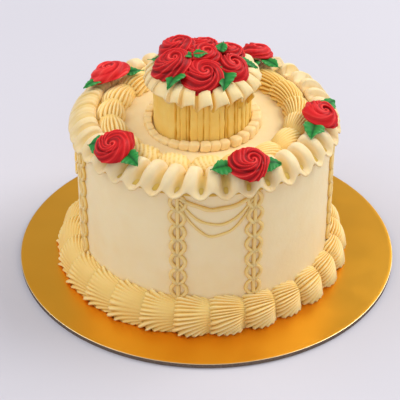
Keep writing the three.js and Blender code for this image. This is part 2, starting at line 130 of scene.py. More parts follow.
# Roses on the small tier
CROWN_ARMS = 8
CROWN_CRISP = 0.9
CROWN_ROSES = named_rows(
    "angle ring base radius height tilt eye",
    (272, 19, 172, 18.2, 14, 18, (0.1, 0.1)),
    (203, 22, 174.5, 16.8, 15, 20, (0.2, 0.1)),
    (0, 0, 176, 15, 15, 0, (0.2, 0)),
    (335, 22.5, 172, 14, 15, 22, (-0.1, 0.2)),
    (140, 23, 172, 16.5, 17.5, 12, (0, 0)),
    (40, 25, 171, 13.5, 13, 18, (0, 0.1)),
    (90, 25, 171, 13.5, 13, 18, (0, 0)),
)

# Leaves beside the rim roses: which rose, heading, distance of the stalk end from the rose's
# middle, size, lift over the ruffle's backs and rise of the tip
RIM_LEAVES = named_rows(
    "rose heading start length width lift rise",
    (0, 192, 12, 18, 16, 0.3, -0.5),
    (0, 10, 12, 16, 14, 0.3, 0),
    (1, 58, 10, 18, 13, 2.4, 3),
    (1, 256, 11, 24, 16, 0.3, 0),
    (2, 312, 10, 19, 12, 0.3, 0),
    (2, 262, 10, 17, 10, 0.6, 0),
    (3, 222, 11, 20, 13, 0.3, 1),
    (3, 15, 12, 17, 11, 0.6, 1),
    (4, 158, 10, 16, 15, 0.6, 1),
    (4, 310, 12, 17, 15, 0.3, 0),
)

# Leaves round the crown roses, each from a stalk end given from the small tier's axis
CROWN_LEAVES = named_rows(
    "angle ring heading length width lift rise",
    (229, 25, 238, 18, 16, 5.6, -5),
    (316, 25, 262, 19, 17, 5.2, -5),
    (222, 11, 185, 9, 10, 10.4, 1),
    (231, 10.4, 12, 13, 10, 11, 1),
    (15, 14, 75, 12, 9, 8, 3),
    (8, 29, 350, 14, 11, 1.5, -3),
    (172, 26, 165, 17, 12, 1, 1),
    (115, 24, 105, 16, 12, 1, 6),
)


# Numbers and curves

def wobble(index, seed):
    """A repeatable value from -1 to 1 for each whole number, so that hand-piped pieces differ."""
    value = np.sin(np.asarray(index) * 12.9898 + seed * 78.233) * 43758.5453
    return (value - np.floor(value)) * 2 - 1


def drift(x, seed, waves=5):
    """A smooth repeatable wander from about -1 to 1 that closes after x has gone from 0 to 1."""
    total = 0
    for k in range(1, waves + 1):
        total = total + wobble(k, seed) * np.sin(2 * np.pi * (k * x + wobble(k, seed + 0.5)))
    return total / math.sqrt(waves)


def spline(before, here, after, later, f):
    """A smooth curve from here to after, with the points on both sides of them."""
    cubic = 3 * (here - after) + later - before
    square = 2 * before - 5 * here + 4 * after - later
    return here + 0.5 * f * ((after - before) + f * (square + f * cubic))


def through(values, x):
    """A smooth curve through evenly spaced values, read at x from 0 to 1."""
    values = np.asarray(values, float)
    last = len(values) - 1
    place = np.clip(x, 0, 1) * last
    i = np.minimum(place.astype(int), last - 1)
    f = place - i
    if values.ndim > 1:
        f = f[..., None]
    before, here = values[np.maximum(i - 1, 0)], values[i]
    after, later = values[i + 1], values[np.minimum(i + 2, last)]
    return spline(before, here, after, later, f)


def smooth_step(value, first, last):
    """From 0 at first to 1 at last, with soft ends."""
    share = np.clip((value - first) / (last - first), 0, 1)
    return share * share * (3 - 2 * share)


def softened(bearing, centre, width):
    """From 0 to 1 near a bearing, for places where the piping differs."""
    away = (bearing - centre + 180) % 360 - 180
    return np.exp(-(away / width) ** 2)


def at_bearing(rows, bearing):
    """Reads a table of bearings and values round the cake."""
    return np.interp(bearing, *np.array(rows, float).T, period=360)


def polar(centre, radius, degrees, z):
    """Points at this distance and bearing from a centre."""
    angle = np.radians(degrees)
    x = centre[0] + radius * np.cos(angle)
    y = centre[1] + radius * np.sin(angle)
    return np.stack(np.broadcast_arrays(x, y, z), axis=-1)


def normals_of(loops, ring):
    """Unit normals of a grid of closed loops, pointing to the right of its loops' direction."""
    if ring:
        along = np.roll(loops, -1, 0) - np.roll(loops, 1, 0)
    else:
        along = np.gradient(loops, axis=0)
    around = np.roll(loops, -1, 1) - np.roll(loops, 1, 1)
    normal = np.cross(around, along)
    return normal / np.maximum(np.linalg.norm(normal, axis=-1, keepdims=True), 1e-9)


def add_object(name, data):
    thing = bpy.data.objects.new(name, data)
    bpy.context.scene.collection.objects.link(thing)
    return thing


class Shape:
    """Closed surfaces gathered into one mesh. Each is a row of closed loops."""

    def __init__(self):
        self.points = []
        self.faces = []
        self.tones = []
        self.count = 0

    def add_loops(self, loops, tone=None, ring=False):
        """loops has the shape (rows, columns, 3). A ring closes on its first loop, and anything
        else is closed with a fan at each end. tone is a value from 0 to 1 for each point, from painted
        shade to painted highlight."""
        rows, columns = loops.shape[:2]
        points = loops.reshape(-1, 3)
        tones = np.broadcast_to(0.5 if tone is None else tone, (rows, columns)).ravel()
        j = np.arange(columns)
        after = (j + 1) % columns
        faces = []
        for i in range(rows if ring else rows - 1):
            a = i * columns
            b = ((i + 1) % rows) * columns
            faces.append(np.stack([a + j, a + after, b + after, b + j], axis=1))
        quads = np.concatenate(faces)
        fans = np.empty((0, 3), int)
        if not ring:
            last = (rows - 1) * columns
            first_hub, last_hub = rows * columns, rows * columns + 1
            points = np.concatenate([points, [loops[0].mean(0)], [loops[-1].mean(0)]])
            tones = np.concatenate([tones, [tones[:columns].mean(), tones[last:].mean()]])
            fans = np.concatenate([
                np.stack([after, j, np.full(columns, first_hub)], axis=1),
                np.stack([last + j, last + after, np.full(columns, last_hub)], axis=1),
            ])
        if signed_volume(points, quads, fans) < 0:
            quads, fans = quads[:, ::-1], fans[:, ::-1]
        self.points.append(points)
        self.tones.append(tones)
        self.faces.extend((quads + self.count).tolist())
        self.faces.extend((fans + self.count).tolist())
        self.count += len(points)

    def make(self, name, material):
        """The object, with its tones kept for the material, which paints shade and highlight from them."""
        mesh = bpy.data.meshes.new(name)
        mesh.from_pydata((np.concatenate(self.points) * MM).tolist(), [], self.faces)
        tones = mesh.attributes.new("tone", "FLOAT", "POINT")
        tones.data.foreach_set("value", np.concatenate(self.tones))
        mesh.shade_smooth()
        mesh.materials.append(material)
        return add_object(name, mesh)


def signed_volume(points, quads, fans):
    """Positive where the faces look outward."""
    triangles = np.concatenate([quads[:, [0, 1, 2]], quads[:, [0, 2, 3]], fans])
    corners = points[triangles] - points.mean(0)
    return np.einsum("ij,ij->i", corners[:, 0], np.cross(corners[:, 1], corners[:, 2])).sum()


def place_piece(shape, name, material, slot, *nodes):
    """A piece of the cake that shows instead of these solids."""
    piece = shape.make(name, material)
    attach(piece, BODY)
    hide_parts(*nodes)
    return piece


def place_loops(loops, tone, name, material, slot, node):
    """A piece that is one closed surface."""
    shape = Shape()
    shape.add_loops(loops, tone=tone)
    return place_piece(shape, name, material, slot, node)


# Materials

class Nodes:
    """Short calls for building one material."""

    def __init__(self, name):
        self.material = bpy.data.materials.new(name)
        self.material.use_nodes = True
        self.tree = self.material.node_tree
        self.shader = self.tree.nodes["Principled BSDF"]

    def add(self, kind, **settings):
        node = self.tree.nodes.new(kind)
        for key, value in settings.items():
            setattr(node, key, value)
        return node

    def link(self, output, socket):
        self.tree.links.new(output, socket)

    def place(self):
        return self.add("ShaderNodeTexCoord").outputs["Object"]

    def noise(self, scale, detail=3, roughness=0.5):
        node = self.add("ShaderNodeTexNoise")
        node.inputs["Scale"].default_value = scale
        node.inputs["Detail"].default_value = detail
        node.inputs["Roughness"].default_value = roughness
        self.link(self.place(), node.inputs["Vector"])
        return node.outputs["Fac"]

    def ramp(self, value, stops):
        node = self.add("ShaderNodeValToRGB")
        elements = node.color_ramp.elements
        while len(elements) < len(stops):
            elements.new(0.5)
        for element, (position, colour) in zip(elements, stops):
            element.position = position
            element.color = (*colour, 1)
        self.link(value, node.inputs["Fac"])
        return node.outputs["Color"]

    def mottled(self, scale, detail, dull, bright):
        """Two colours, or two shares of grey, in soft patches."""
        dull, bright = (v if isinstance(v, tuple) else (v, v, v) for v in (dull, bright))
        return self.ramp(self.noise(scale, detail), [(0.3, dull), (0.7, bright)])

    # The tone of each point, which sets the painted shade and painted highlight
    def tone(self):
        return self.add("ShaderNodeAttribute", attribute_name="tone").outputs["Fac"]

    def mix(self, share, first, second, blend="MIX"):
        node = self.add("ShaderNodeMix", data_type="RGBA", blend_type=blend)
        for socket, value in ((node.inputs[0], share), (node.inputs[6], first), (node.inputs[7], second)):
            if isinstance(value, bpy.types.NodeSocket):
                self.link(value, socket)
            else:
                socket.default_value = value
        return node.outputs[2]

    def bump(self, height, distance, strength=1, below=None):
        node = self.add("ShaderNodeBump")
        node.inputs["Distance"].default_value = distance
        node.inputs["Strength"].default_value = strength
        self.link(height, node.inputs["Height"])
        if below is not None:
            self.link(below, node.inputs["Normal"])
        return node.outputs["Normal"]

    def finish(self, **values):
        for key, value in values.items():
            socket = self.shader.inputs[key.replace("_", " ")]
            if isinstance(value, bpy.types.NodeSocket):
                self.link(value, socket)
            else:
                socket.default_value = value
        return self.material


def linear(red, green, blue):
    """A colour as seen on a screen, from 0 to 255, as the shader's linear values."""
    shares = (red / 255, green / 255, blue / 255)
    return tuple(((c + 0.055) / 1.055) ** 2.4 if c > 10 / 255 else c / 12.92 for c in shares)


ICING_RADIUS = (1.0, 0.75, 0.4)
GROOVE_PAINTED_SHADE = (
    # painted shade: tone from groove to crest, share of the icing's colour kept, the grooves painted deep
    # gold where shade and warm bounce light fall
    (0.05, (0.82, 0.66, 0.18)), (0.55, (1, 0.98, 0.92)), (0.8, (1, 1, 1)),
)
SHELL_PAINTED_SHADE = (
    # the same painted shade for the shells, whose grooves are deeper
    (0.05, (0.62, 0.42, 0.07)), (0.4, (0.88, 0.74, 0.35)),
    (0.7, (0.98, 0.92, 0.65)), (1.0, (1, 1, 0.94)),
)


def make_buttercream(name, pale, deep, bump_scale, bump_depth, painted_shades=GROOVE_PAINTED_SHADE):
    """Ivory buttercream: soft mottling, fine pores, a satin skin and painted shade that turns its grooves
    deeper gold.
    """
    nodes = Nodes(name)
    colour = nodes.mottled(60, 4, linear(*deep), linear(*pale))
    # Painted shade: the tone darkens the colour to gold in grooves and creases
    grooves = nodes.ramp(nodes.tone(), painted_shades)
    colour = nodes.mix(1, colour, grooves, "MULTIPLY")
    pores = nodes.bump(nodes.noise(bump_scale, detail=5, roughness=0.6), bump_depth)
    skin = nodes.bump(nodes.noise(180, detail=2), 0.00025, below=pores)
    rough = nodes.mottled(90, 3, 0.44, 0.58)
    return nodes.finish(
        Base_Color=colour, Roughness=rough, Normal=skin, Specular_IOR_Level=0.35,
        Subsurface_Weight=0.25, Subsurface_Radius=ICING_RADIUS, Subsurface_Scale=0.004)


def make_tinted_icing(name, painted_shades, roughness):
    """Coloured icing, with painted shade deep in its grooves and a paler painted highlight along its thin
    crests.
    """
    nodes = Nodes(name)
    # The tone paints shade in the grooves and highlight on the crests
    colour = nodes.ramp(nodes.tone(), [(tone, linear(*painted_light)) for tone, painted_light in painted_shades])
    colour = nodes.mix(1, colour, nodes.mottled(140, 4, 0.9, 1), "MULTIPLY")
    pores = nodes.bump(nodes.noise(1500, detail=4), 0.0001)
    return nodes.finish(
        Base_Color=colour, Roughness=roughness, Normal=pores, Specular_IOR_Level=0.2,
        Subsurface_Weight=0.05, Subsurface_Radius=(1.0, 0.2, 0.15), Subsurface_Scale=0.002)


def make_gold_foil(name, dull, bright):
    """Satin gold foil on card, with faint waves and rolled grain."""
    nodes = Nodes(name)
    colour = nodes.mottled(9, 2, dull, bright)
    waves = nodes.bump(nodes.noise(14, detail=1), 0.0012, strength=0.5)
    grain = nodes.bump(nodes.noise(2200, detail=2), 0.00004, below=waves)
    rough = nodes.mottled(40, 4, 0.3, 0.38)
    return nodes.finish(Base_Color=colour, Metallic=1.0, Roughness=rough, Normal=grain)


def make_card():
    """The cut grey card between the board's foils."""
    nodes = Nodes("board_card")
    colour = nodes.mottled(900, 4, linear(100, 82, 70), linear(142, 122, 106))
    fibres = nodes.bump(nodes.noise(2500, detail=3), 0.0001)
    return nodes.finish(Base_Color=colour, Roughness=0.85, Normal=fibres)


def make_floor_paint():
    """A matt, very pale lilac."""
    nodes = Nodes("pale_floor")
    colour = nodes.mottled(2, 2, linear(203, 201, 210), linear(207, 205, 213))
    return nodes.finish(Base_Color=colour, Roughness=0.9)


RED_SHADE_AND_HIGHLIGHT = (
    # tone from groove to crest, colour: painted shade in the grooves, painted highlight on the crests
    (0.0, (124, 1, 6)), (0.28, (186, 8, 16)), (0.5, (220, 28, 32)), (0.78, (246, 66, 62)),
    (1.0, (252, 106, 96)),
)
GREEN_SHADE_AND_HIGHLIGHT = (
    # tone from the leaf's vein to its edge, colour: painted shade in the sunken vein and underneath, painted
    # highlight on the raised edges
    (0.0, (16, 84, 34)), (0.35, (34, 128, 54)), (0.7, (42, 140, 60)), (1.0, (100, 180, 106)),
)
IVORY = ((253, 227, 173), (251, 219, 157))

side_icing = make_buttercream("smooth_buttercream", (252, 231, 187), (250, 226, 177), 500, 0.00012)
piped_icing = make_buttercream("piped_buttercream", *IVORY, 900, 0.0001)
shell_icing = make_buttercream("shell_buttercream", *IVORY, 900, 0.0001, SHELL_PAINTED_SHADE)
ruffle_icing = make_buttercream("ruffle_buttercream", (246, 222, 176), (244, 214, 161), 900, 0.0001)
# The tier's buttercream painted deep gold: painted shade, as it stands under the collar in shade and warm
# bounce light
tier_shade_icing = make_buttercream("tier_painted_shade_buttercream", (252, 223, 136), (248, 208, 106), 700, 0.00012)
red_icing = make_tinted_icing("red_icing", RED_SHADE_AND_HIGHLIGHT, 0.46)
green_icing = make_tinted_icing("green_icing", GREEN_SHADE_AND_HIGHLIGHT, 0.42)
gold_foil = make_gold_foil("gold_foil", (0.91, 0.41, 0.024), (0.95, 0.455, 0.034))
# Paler gold for the foil's rolled rim: a painted highlight where the folded edge catches the light
foil_rim_highlight = make_gold_foil("foil_rim_highlight", (0.80, 0.62, 0.34), (0.86, 0.68, 0.40))
card = make_card()


# Board

def make_board():
    """Foil folded over a grey card, whose cut edge shows below it."""
    low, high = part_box("cake_board")
    radius = high.x / MM
    top = high.z / MM
    card_top = top - CARD_TOP_GAP
    profile = [
        (0.5, 0), (radius - 1, 0), (radius - CARD_INSET, 0.3), (radius - CARD_INSET, card_top),
        (radius, card_top), (radius, top - 0.2), (radius - 0.1, top - 0.08), (radius - BOARD_BEVEL, top),
        (radius - 3, top), (radius * 0.8, top), (radius * 0.4, top), (0.5, top),
    ]
    degrees = np.arange(288) * (360 / 288)
    loops = np.stack([polar((0, 0), r, degrees, z) for r, z in profile])
    board = place_loops(loops, None, "cake_board_foil", gold_foil, "gold_board", "cake_board")
    board.data.materials.append(card)
    board.data.materials.append(foil_rim_highlight)
    # The rim's faces take the paler gold, a painted highlight
    for face in board.data.polygons:
        edge = abs(face.normal.z) < 0.3 and face.center.z < card_top * MM
        rim = math.hypot(face.center.x, face.center.y) > (radius - BOARD_BEVEL) * MM
        face.material_index = 1 if edge or face.normal.z < -0.5 else 2 if rim else 0


# Cake body

def make_cake_body():
    """The smooth side and top, slightly uneven as a palette knife leaves them."""
    degrees = np.arange(240) * (360 / 240)
    side_z = np.linspace(CAKE_BOTTOM, CAKE_TOP - CAKE_EDGE, 30)
    turn = np.radians(np.linspace(0, 90, 7)[1:])
    rings = [(CAKE_RADIUS, z) for z in side_z]
    for a in turn:
        rings.append((CAKE_RADIUS - CAKE_EDGE * (1 - math.cos(a)), CAKE_TOP - CAKE_EDGE * (1 - math.sin(a))))
    rings += [(r, CAKE_TOP) for r in np.linspace(CAKE_RADIUS - CAKE_EDGE, 1, 24)[1:]]
    x = degrees / 360
    loops, tones = [], []
    for r, z in rings:
        share = z / CAKE_TOP
        # Painted shade: the top is tinted a little more gold than the side
        tones.append(TOP_SHADE_TONE if z > CAKE_TOP - 0.01 else 0.7)
        hand = 0.3 * drift(x, 11) * drift(np.full_like(x, share * 0.6), 12)
        hand = hand + 0.15 * drift(x + 0.2 * share, 13)
        if z < CAKE_TOP - 0.01:
            loops.append(polar(CAKE_CENTRE, r + hand, degrees, z))
        else:
            swirl = 0.25 * drift(x + r / 160, 14) * (r / CAKE_RADIUS)
            loops.append(polar(CAKE_CENTRE, r, degrees, z + swirl))
    tone = np.array(tones)[:, None]
    place_loops(np.array(loops), tone, "cake_body", side_icing, "buttercream", "cake")


# Strings on the side

def add_string(shape, angle, along, z, radius):
    """A string laid on the cake's side. along is millimetres round the side from the angle."""
    degrees = angle + np.degrees(along / CAKE_RADIUS)
    path = polar(CAKE_CENTRE, CAKE_RADIUS + 0.55 * radius, degrees, z)
    heading = np.gradient(path, axis=0)
    heading /= np.linalg.norm(heading, axis=1, keepdims=True)
    outward = polar((0, 0), 1, degrees, 0)
    sideways = np.cross(heading, outward)
    sideways /= np.linalg.norm(sideways, axis=1, keepdims=True)
    turn = np.arange(10) * (2 * np.pi / 10)
    thick = radius * (1 + 0.1 * drift(np.linspace(0, 1, len(path)), angle + radius, 7))
    loops = path[:, None] + thick[:, None, None] * (
        np.cos(turn)[None, :, None] * outward[:, None] + np.sin(turn)[None, :, None] * sideways[:, None])
    # Painted shade: the strings are darkened gold, lightest on their outer side and darkest against the cake
    shape.add_loops(loops, tone=STRING_SHADE_TONE + 0.25 * np.cos(turn)[None])


def add_column(shape, angle, index):
    """A straight string with a row of loops on each side of it."""
    z = np.linspace(COLUMN_TOP, COLUMN_BOTTOM, 60)
    add_string(shape, angle, 0.35 * drift(np.linspace(0, 1, 60), index), z, STRING_RADIUS)
    pitch = (COLUMN_TOP - COLUMN_BOTTOM) / COLUMN_LOOPS
    x = np.linspace(0, 1, 16)
    for side in (-1, 1):
        for loop in range(COLUMN_LOOPS):
            seed = index * 40 + loop * 2 + side
            reach = LOOP_REACH * (1 + 0.12 * wobble(seed, 21))
            bow = np.sin(np.pi * x) ** 0.75
            along = side * (LOOP_NECK * (1 - x) * 0.4 + (reach - 0.5) * bow)
            shift = 0.8 * wobble(seed, 22)
            top = COLUMN_TOP - pitch * loop + 0.6 + (shift if loop else 0)
            radius = STRING_RADIUS * (1 + 0.1 * wobble(seed, 23))
            add_string(shape, angle, along, top - (pitch + 1.2) * x, radius)


def add_swag(shape, angle, swag, index):
    """A string that hangs between the two columns of a pair."""
    x = np.linspace(-1, 1, 48)
    span = CAKE_RADIUS * math.radians(COLUMN_OFFSET) - 1.5
    z = swag["low"] + (swag["start"] - swag["low"]) * np.abs(x) ** 2.1
    uneven = 1.2 * wobble(index, 24) * x + 0.8 * drift((x + 1) / 2, index + 30, 3)
    add_string(shape, angle, x * span, z + uneven * (1 - x ** 2), swag["radius"])


def make_strings():
    shape = Shape()
    for k, pair in enumerate(PAIR_ANGLES):
        for side in (-1, 1):
            add_column(shape, pair + side * COLUMN_OFFSET, 2 * k + side)
        for level, swag in enumerate(SWAGS):
            add_swag(shape, pair, swag, 5 * k + level)
    place_piece(shape, "side_strings", piped_icing, "buttercream", "cake")


# Shell borders. Each shell is a scallop: its flutes spread from a smooth knob at its tail to a
# crisp head, and curl over both edges as claws. The tail of each ends against the next head.

HEAD_TO_TAIL = (
    # place along the shell, size of its section
    (0.08, 0.55), (0.03, 0.76), (0.0, 0.87), (0.01, 0.93), (0.05, 0.97), (0.13, 1.0), (0.25, 1.0),
    (0.37, 1.0), (0.50, 0.995), (0.62, 0.985), (0.73, 0.975), (0.83, 0.965), (0.93, 0.955), (1.03, 0.94),
    (1.12, 0.84),
)


# How far in from head and tail the parting and the scallop reach, and how far up the scallop
NOTCH_REACH = (0.1, 0.12)
SCALLOP_REACH = (0.16, 0.2)
SCALLOP_HEIGHT = 0.55

# The flutes' least depth and how gently they fade, the smooth pad across their middle, and how far
# in from the lower and upper edge the claws reach
LEAST_FLUTE = 0.06
FLUTE_FADE = 0.085
PAD_MIDDLE = 0.58
PAD_WIDTH = 0.24
CLAW_REACH = (0.11, 0.09)


def near_ends(ahead, reach):
    """1 at a shell's head and tail, falling to 0 between them."""
    head, tail = reach
    return np.exp(-ahead / head) + np.exp(-(1 - ahead) / tail)


def add_shell(shape, section, degrees_at, style, form, index):
    """One shell. section(t, size) gives radius and z across its exposed side and
    degrees_at(place, claw) its bearing. In form, size is its share of the full section, reach how
    far the flutes run towards the tail and strength their depth, spread how close they lie at head
    and tail, middle where they centre, curl how many run out over each edge and turn how suddenly,
    claws how far they stand out there, notch the parting between two shells, scallop how far it
    opens at the foot, pad how smooth the middle is and gold how much painted shade deepens its colour."""
    seed = style["seed"]
    table = through(HEAD_TO_TAIL, np.linspace(0, 1, style["rows"]))
    place, size = table[:, 0], table[:, 1] * form["size"] * (1 + 0.04 * wobble(index, seed))
    ahead = np.clip(place, 0, 1)
    size = size * (1 - form["notch"] * near_ends(ahead, NOTCH_REACH))
    t = np.linspace(0, 1, style["columns"])
    ends = near_ends(ahead, SCALLOP_REACH)
    narrow = 1 - form["scallop"] * ends[:, None] * np.exp(-(t[None] / SCALLOP_HEIGHT) ** 2)
    head, tail = form["spread"]
    close = (head + (tail - head) * ahead) * (1 + 0.08 * wobble(index, seed + 1))
    middle = form["middle"] + 0.05 * wobble(index, seed + 3)
    phase = style["flutes"] * (t[None] - middle) * close[:, None] + wobble(index, seed + 2)
    low, high = form["curl"]
    low_edge = np.clip(1 - t / style["bend"], 0, 1) ** form["turn"]
    high_edge = np.clip(1 - (1 - t) / style["bend"], 0, 1) ** form["turn"]
    phase = phase + (high * high_edge - low * low_edge)[None] * ahead[:, None]
    phase = phase + 0.3 * drift(t[None] * 0.8 + 0.1, seed + index, 3)
    crest = 2 * np.abs(np.cos(np.pi * phase)) ** style["sharp"] - 1
    fade = LEAST_FLUTE + form["strength"] / (1 + np.exp((ahead - form["reach"]) / FLUTE_FADE))
    pad = 1 - form["pad"] * np.exp(-((t[None] - PAD_MIDDLE) / PAD_WIDTH) ** 2)
    fade = (fade * (0.45 + 0.55 * smooth_step(ahead, 0, 0.2)))[:, None] * pad
    edge = form["claws"][0] * np.exp(-t / CLAW_REACH[0]) + form["claws"][1] * np.exp(-(1 - t) / CLAW_REACH[1])
    lip = style["lip"] * np.exp(-ahead / 0.06)[:, None] * crest * pad
    radius, z = section(t[None], size[:, None] * narrow)
    shown = polar(CAKE_CENTRE, radius, degrees_at(place[:, None], -lip), z)
    back_radius, back_z = style["back"](size)
    back = polar(CAKE_CENTRE, back_radius, degrees_at(place[:, None], 0 * back_radius), back_z)
    loops = np.concatenate([shown, back], axis=1)
    normal = normals_of(loops, False)
    outward = np.sign(np.einsum("ijk,ijk->ij", normal, loops - loops.mean(1, keepdims=True)).mean())
    columns = style["columns"]
    depth = style["depth"] * (fade + np.clip(fade + 0.35, 0, 1) * edge[None]) * crest
    loops[:, :columns] += outward * depth[..., None] * normal[:, :columns]
    # Painted shade and highlight: darker gold in the grooves, paler on the crests, with gold adding painted
    # shade across the side
    tone = np.ones(loops.shape[:2]) * 0.7
    tone[:, :columns] = 0.55 + 0.45 * crest * np.clip(fade + edge[None] * 0.3, 0, 1)
    tone[:, :columns] -= form["gold"] * (0.6 + 0.4 * t[None])
    tone = np.clip(tone, 0, 1)
    loops[..., 2] = np.maximum(loops[..., 2], style["floor"])
    shape.add_loops(loops, tone=tone)


def add_core(shape, section, back, size):
    """A plain ring inside a border, so that the gaps between its shells have a bottom."""
    radius, z = section(np.linspace(0, 1, 9), size)
    back_radius, back_z = back(np.array([size]))
    radius, z = np.concatenate([radius, back_radius[0]]), np.concatenate([z, back_z[0]])
    degrees = np.arange(120) * 3.0
    loops = polar(CAKE_CENTRE, radius[None], degrees[:, None], z[None])
    # Painted shade at the bottom of the gaps between the shells
    shape.add_loops(loops, ring=True, tone=0.35)


FOOT_REACH = (
    # bearing, and how far the flutes run towards the tail
    (0, 0.95), (90, 0.8), (155, 0.34), (234, 0.3), (250, 0.5), (266, 0.86), (330, 0.97),
)
FOOT_SIZES = (
    # bearing, and the shells' share of the full section
    (5, 0.9), (40, 1.0), (255, 1.0), (275, 0.93), (298, 0.82), (325, 0.8), (348, 0.84),
)


# The shells are crispest at one bearing, and have the smoothest pads round another
FOOT_CRISPEST = 335
FOOT_PADS = {"centre": 206, "width": 50}
FOOT_CORE = 0.46
INNER_CORE = 0.36


def make_foot_border():
    """Big shells on the board, closed at the left and parted at the front right."""
    pitch = 360 / FOOT_SHELLS
    length = math.radians(pitch) * (CAKE_RADIUS + FOOT_WIDTH * 0.6)

    def section(t, size):
        turn = t * np.pi / 2
        out = np.cos(turn) ** 0.8 * FOOT_WIDTH * size
        rise = np.sin(turn) ** 0.8 * FOOT_HEIGHT * (0.3 + 0.7 * size)
        return FOOT_INNER + out, FOOT_BOTTOM + rise

    def back(size):
        top = FOOT_BOTTOM + FOOT_HEIGHT * (0.3 + 0.7 * size)
        radius = np.stack([0 * size + FOOT_INNER - 0.4] * 3, axis=1)
        return radius, np.stack([top - 1, top * 0.5, 0 * size + FOOT_BOTTOM], axis=1)

    style = {
        "rows": 34, "columns": 88, "flutes": 8.5, "bend": 0.42, "sharp": 0.85, "depth": 1.5,
        "lip": 0.9, "back": back, "floor": FOOT_BOTTOM, "seed": 32,
    }
    shape = Shape()
    add_core(shape, section, back, FOOT_CORE)
    for k in range(FOOT_SHELLS):
        shift = 0.5 * wobble(k, 31)
        bearing = math.radians(FOOT_FIRST_NOTCH + pitch * k)
        degrees = math.degrees(bearing)
        crisp = 0.5 + 0.5 * math.cos(bearing - math.radians(FOOT_CRISPEST))
        form = {
            "size": at_bearing(FOOT_SIZES, degrees % 360), "reach": at_bearing(FOOT_REACH, degrees % 360),
            "strength": 0.8 + 0.2 * crisp, "notch": 0.03 + 0.3 * crisp ** 3,
            "spread": (0.95 - 0.1 * crisp, 1.2 + 0.5 * crisp), "curl": (2.2, 1.6), "turn": 2,
            "middle": 0.5 + 0.15 * crisp, "gold": 0, "claws": (2.1 - 1.3 * crisp ** 2, 1.1 - 0.6 * crisp),
            "scallop": 0.02 + 0.42 * crisp ** 2, "pad": 0.9 * float(softened(degrees, **FOOT_PADS)),
        }

        def degrees_at(place, claw):
            return FOOT_FIRST_NOTCH + pitch * (k + place) + shift + claw / length * pitch

        add_shell(shape, section, degrees_at, style, form, k)
    place_piece(shape, "foot_shells", shell_icing, "buttercream", "foot_shell_border")


INNER_FORMS = (
    # bearing, reach, strength, spread at head and tail, curl over outer and inner edge, how suddenly
    # it curls, notch, gold (painted shade, negative for painted light)
    (0, 0.8, 1.2, 0.95, 1.3, 2.5, 1.0, 1.0, 0.14, 0.1),
    (40, 1.15, 1.7, 0.92, 1.1, 1.5, 0.8, 1.0, 0.12, 0.4),
    (90, 1.0, 1.5, 0.95, 1.2, 2.0, 1.0, 1.0, 0.12, 0.35),
    (160, 0.6, 1.7, 0.7, 1.0, 2.0, 1.0, 1.0, 0.12, 0.0),
    (205, 0.6, 1.7, 0.65, 0.9, 4.0, 1.0, 1.0, 0.14, 0.0),
    (238, 1.2, 0.6, 0.12, 0.12, 8.0, 0.0, 0.3, 0.58, -0.1),
    (268, 1.2, 0.55, 0.08, 0.08, 8.5, 0.0, 0.25, 0.6, -0.1),
    (300, 0.6, 0.7, 0.6, 0.8, 6.0, 0.0, 0.8, 0.44, 0.0),
    (335, 0.6, 0.8, 0.95, 1.3, 4.0, 0.5, 1.0, 0.36, 0.0),
)


def make_inner_border():
    """Smaller shells on the top: fluted at the back, low domes at the front."""
    pitch = 360 / INNER_SHELLS
    length = math.radians(pitch) * INNER_BORDER_RADIUS
    forms = np.array(INNER_FORMS)

    def section(t, size):
        turn = t * np.pi
        across = np.cos(turn) * INNER_HALF_WIDTH * (0.3 + 0.7 * size)
        rise = np.sin(turn) ** 0.8 * INNER_HEIGHT * size
        return INNER_BORDER_RADIUS + across, CAKE_TOP + rise

    def back(size):
        side = INNER_HALF_WIDTH * (0.3 + 0.7 * size)
        radius = INNER_BORDER_RADIUS + np.stack([-0.7 * side, 0 * side, 0.7 * side], axis=1)
        return radius, np.full(radius.shape, CAKE_TOP - 0.3)

    style = {
        "rows": 34, "columns": 84, "flutes": 11, "bend": 1.1, "sharp": 0.8, "depth": 1.0,
        "lip": 1.2, "back": back, "floor": CAKE_TOP - 0.3, "seed": 42,
    }
    shape = Shape()
    add_core(shape, section, back, INNER_CORE)
    for k in range(INNER_SHELLS):
        shift = 0.8 * wobble(k, 41)
        bearing = (INNER_FIRST_NOTCH + pitch * (k + 0.5)) % 360
        reach, strength, head, tail, low, high, turn, notch, gold = (
            np.interp(bearing, forms[:, 0], column, period=360) for column in forms[:, 1:].T)
        form = {
            "size": 1, "reach": reach, "strength": strength, "spread": (head, tail), "curl": (low, high),
            "turn": turn, "notch": notch, "middle": 0.5, "gold": gold, "claws": (0.4, 0.5), "scallop": 0,
            "pad": 0,
        }

        def degrees_at(place, claw):
            return INNER_FIRST_NOTCH + pitch * (k + 1 - place) + shift - claw / length * pitch

        add_shell(shape, section, degrees_at, style, form, k)
    place_piece(shape, "inner_shells", shell_icing, "buttercream", "inner_shell_border")


# Ribbons. A ribbon runs round in pleats: each pleat's path is a list of advance, as a share of the
# pitch, and height of the wave from -1 to 1, and may double back under itself.

def smooth_path(path, steps):
    """Points along one pleat of a path that goes on into the next pleat."""
    path = np.array(path, float)
    extended = np.concatenate([path[-1:] - [1, 0], path, path[:2] + [1, 0]])
    u = np.arange(steps) / steps * len(path)
    i = u.astype(int)
    return spline(*(extended[i + k] for k in range(4)), (u - i)[:, None])


def folded_path(path, steps):
    """The same with straight runs, so that its turns stay crisp."""
    path = np.array(path, float)
    closed = np.concatenate([path, path[:1] + [1, 0]])
    run = np.concatenate([[0], np.cumsum(np.hypot(*np.diff(closed * [6, 2.6], axis=0).T))])
    at = np.arange(steps) / steps * run[-1]
    return np.stack([np.interp(at, run, closed[:, 0]), np.interp(at, run, closed[:, 1])], axis=1)


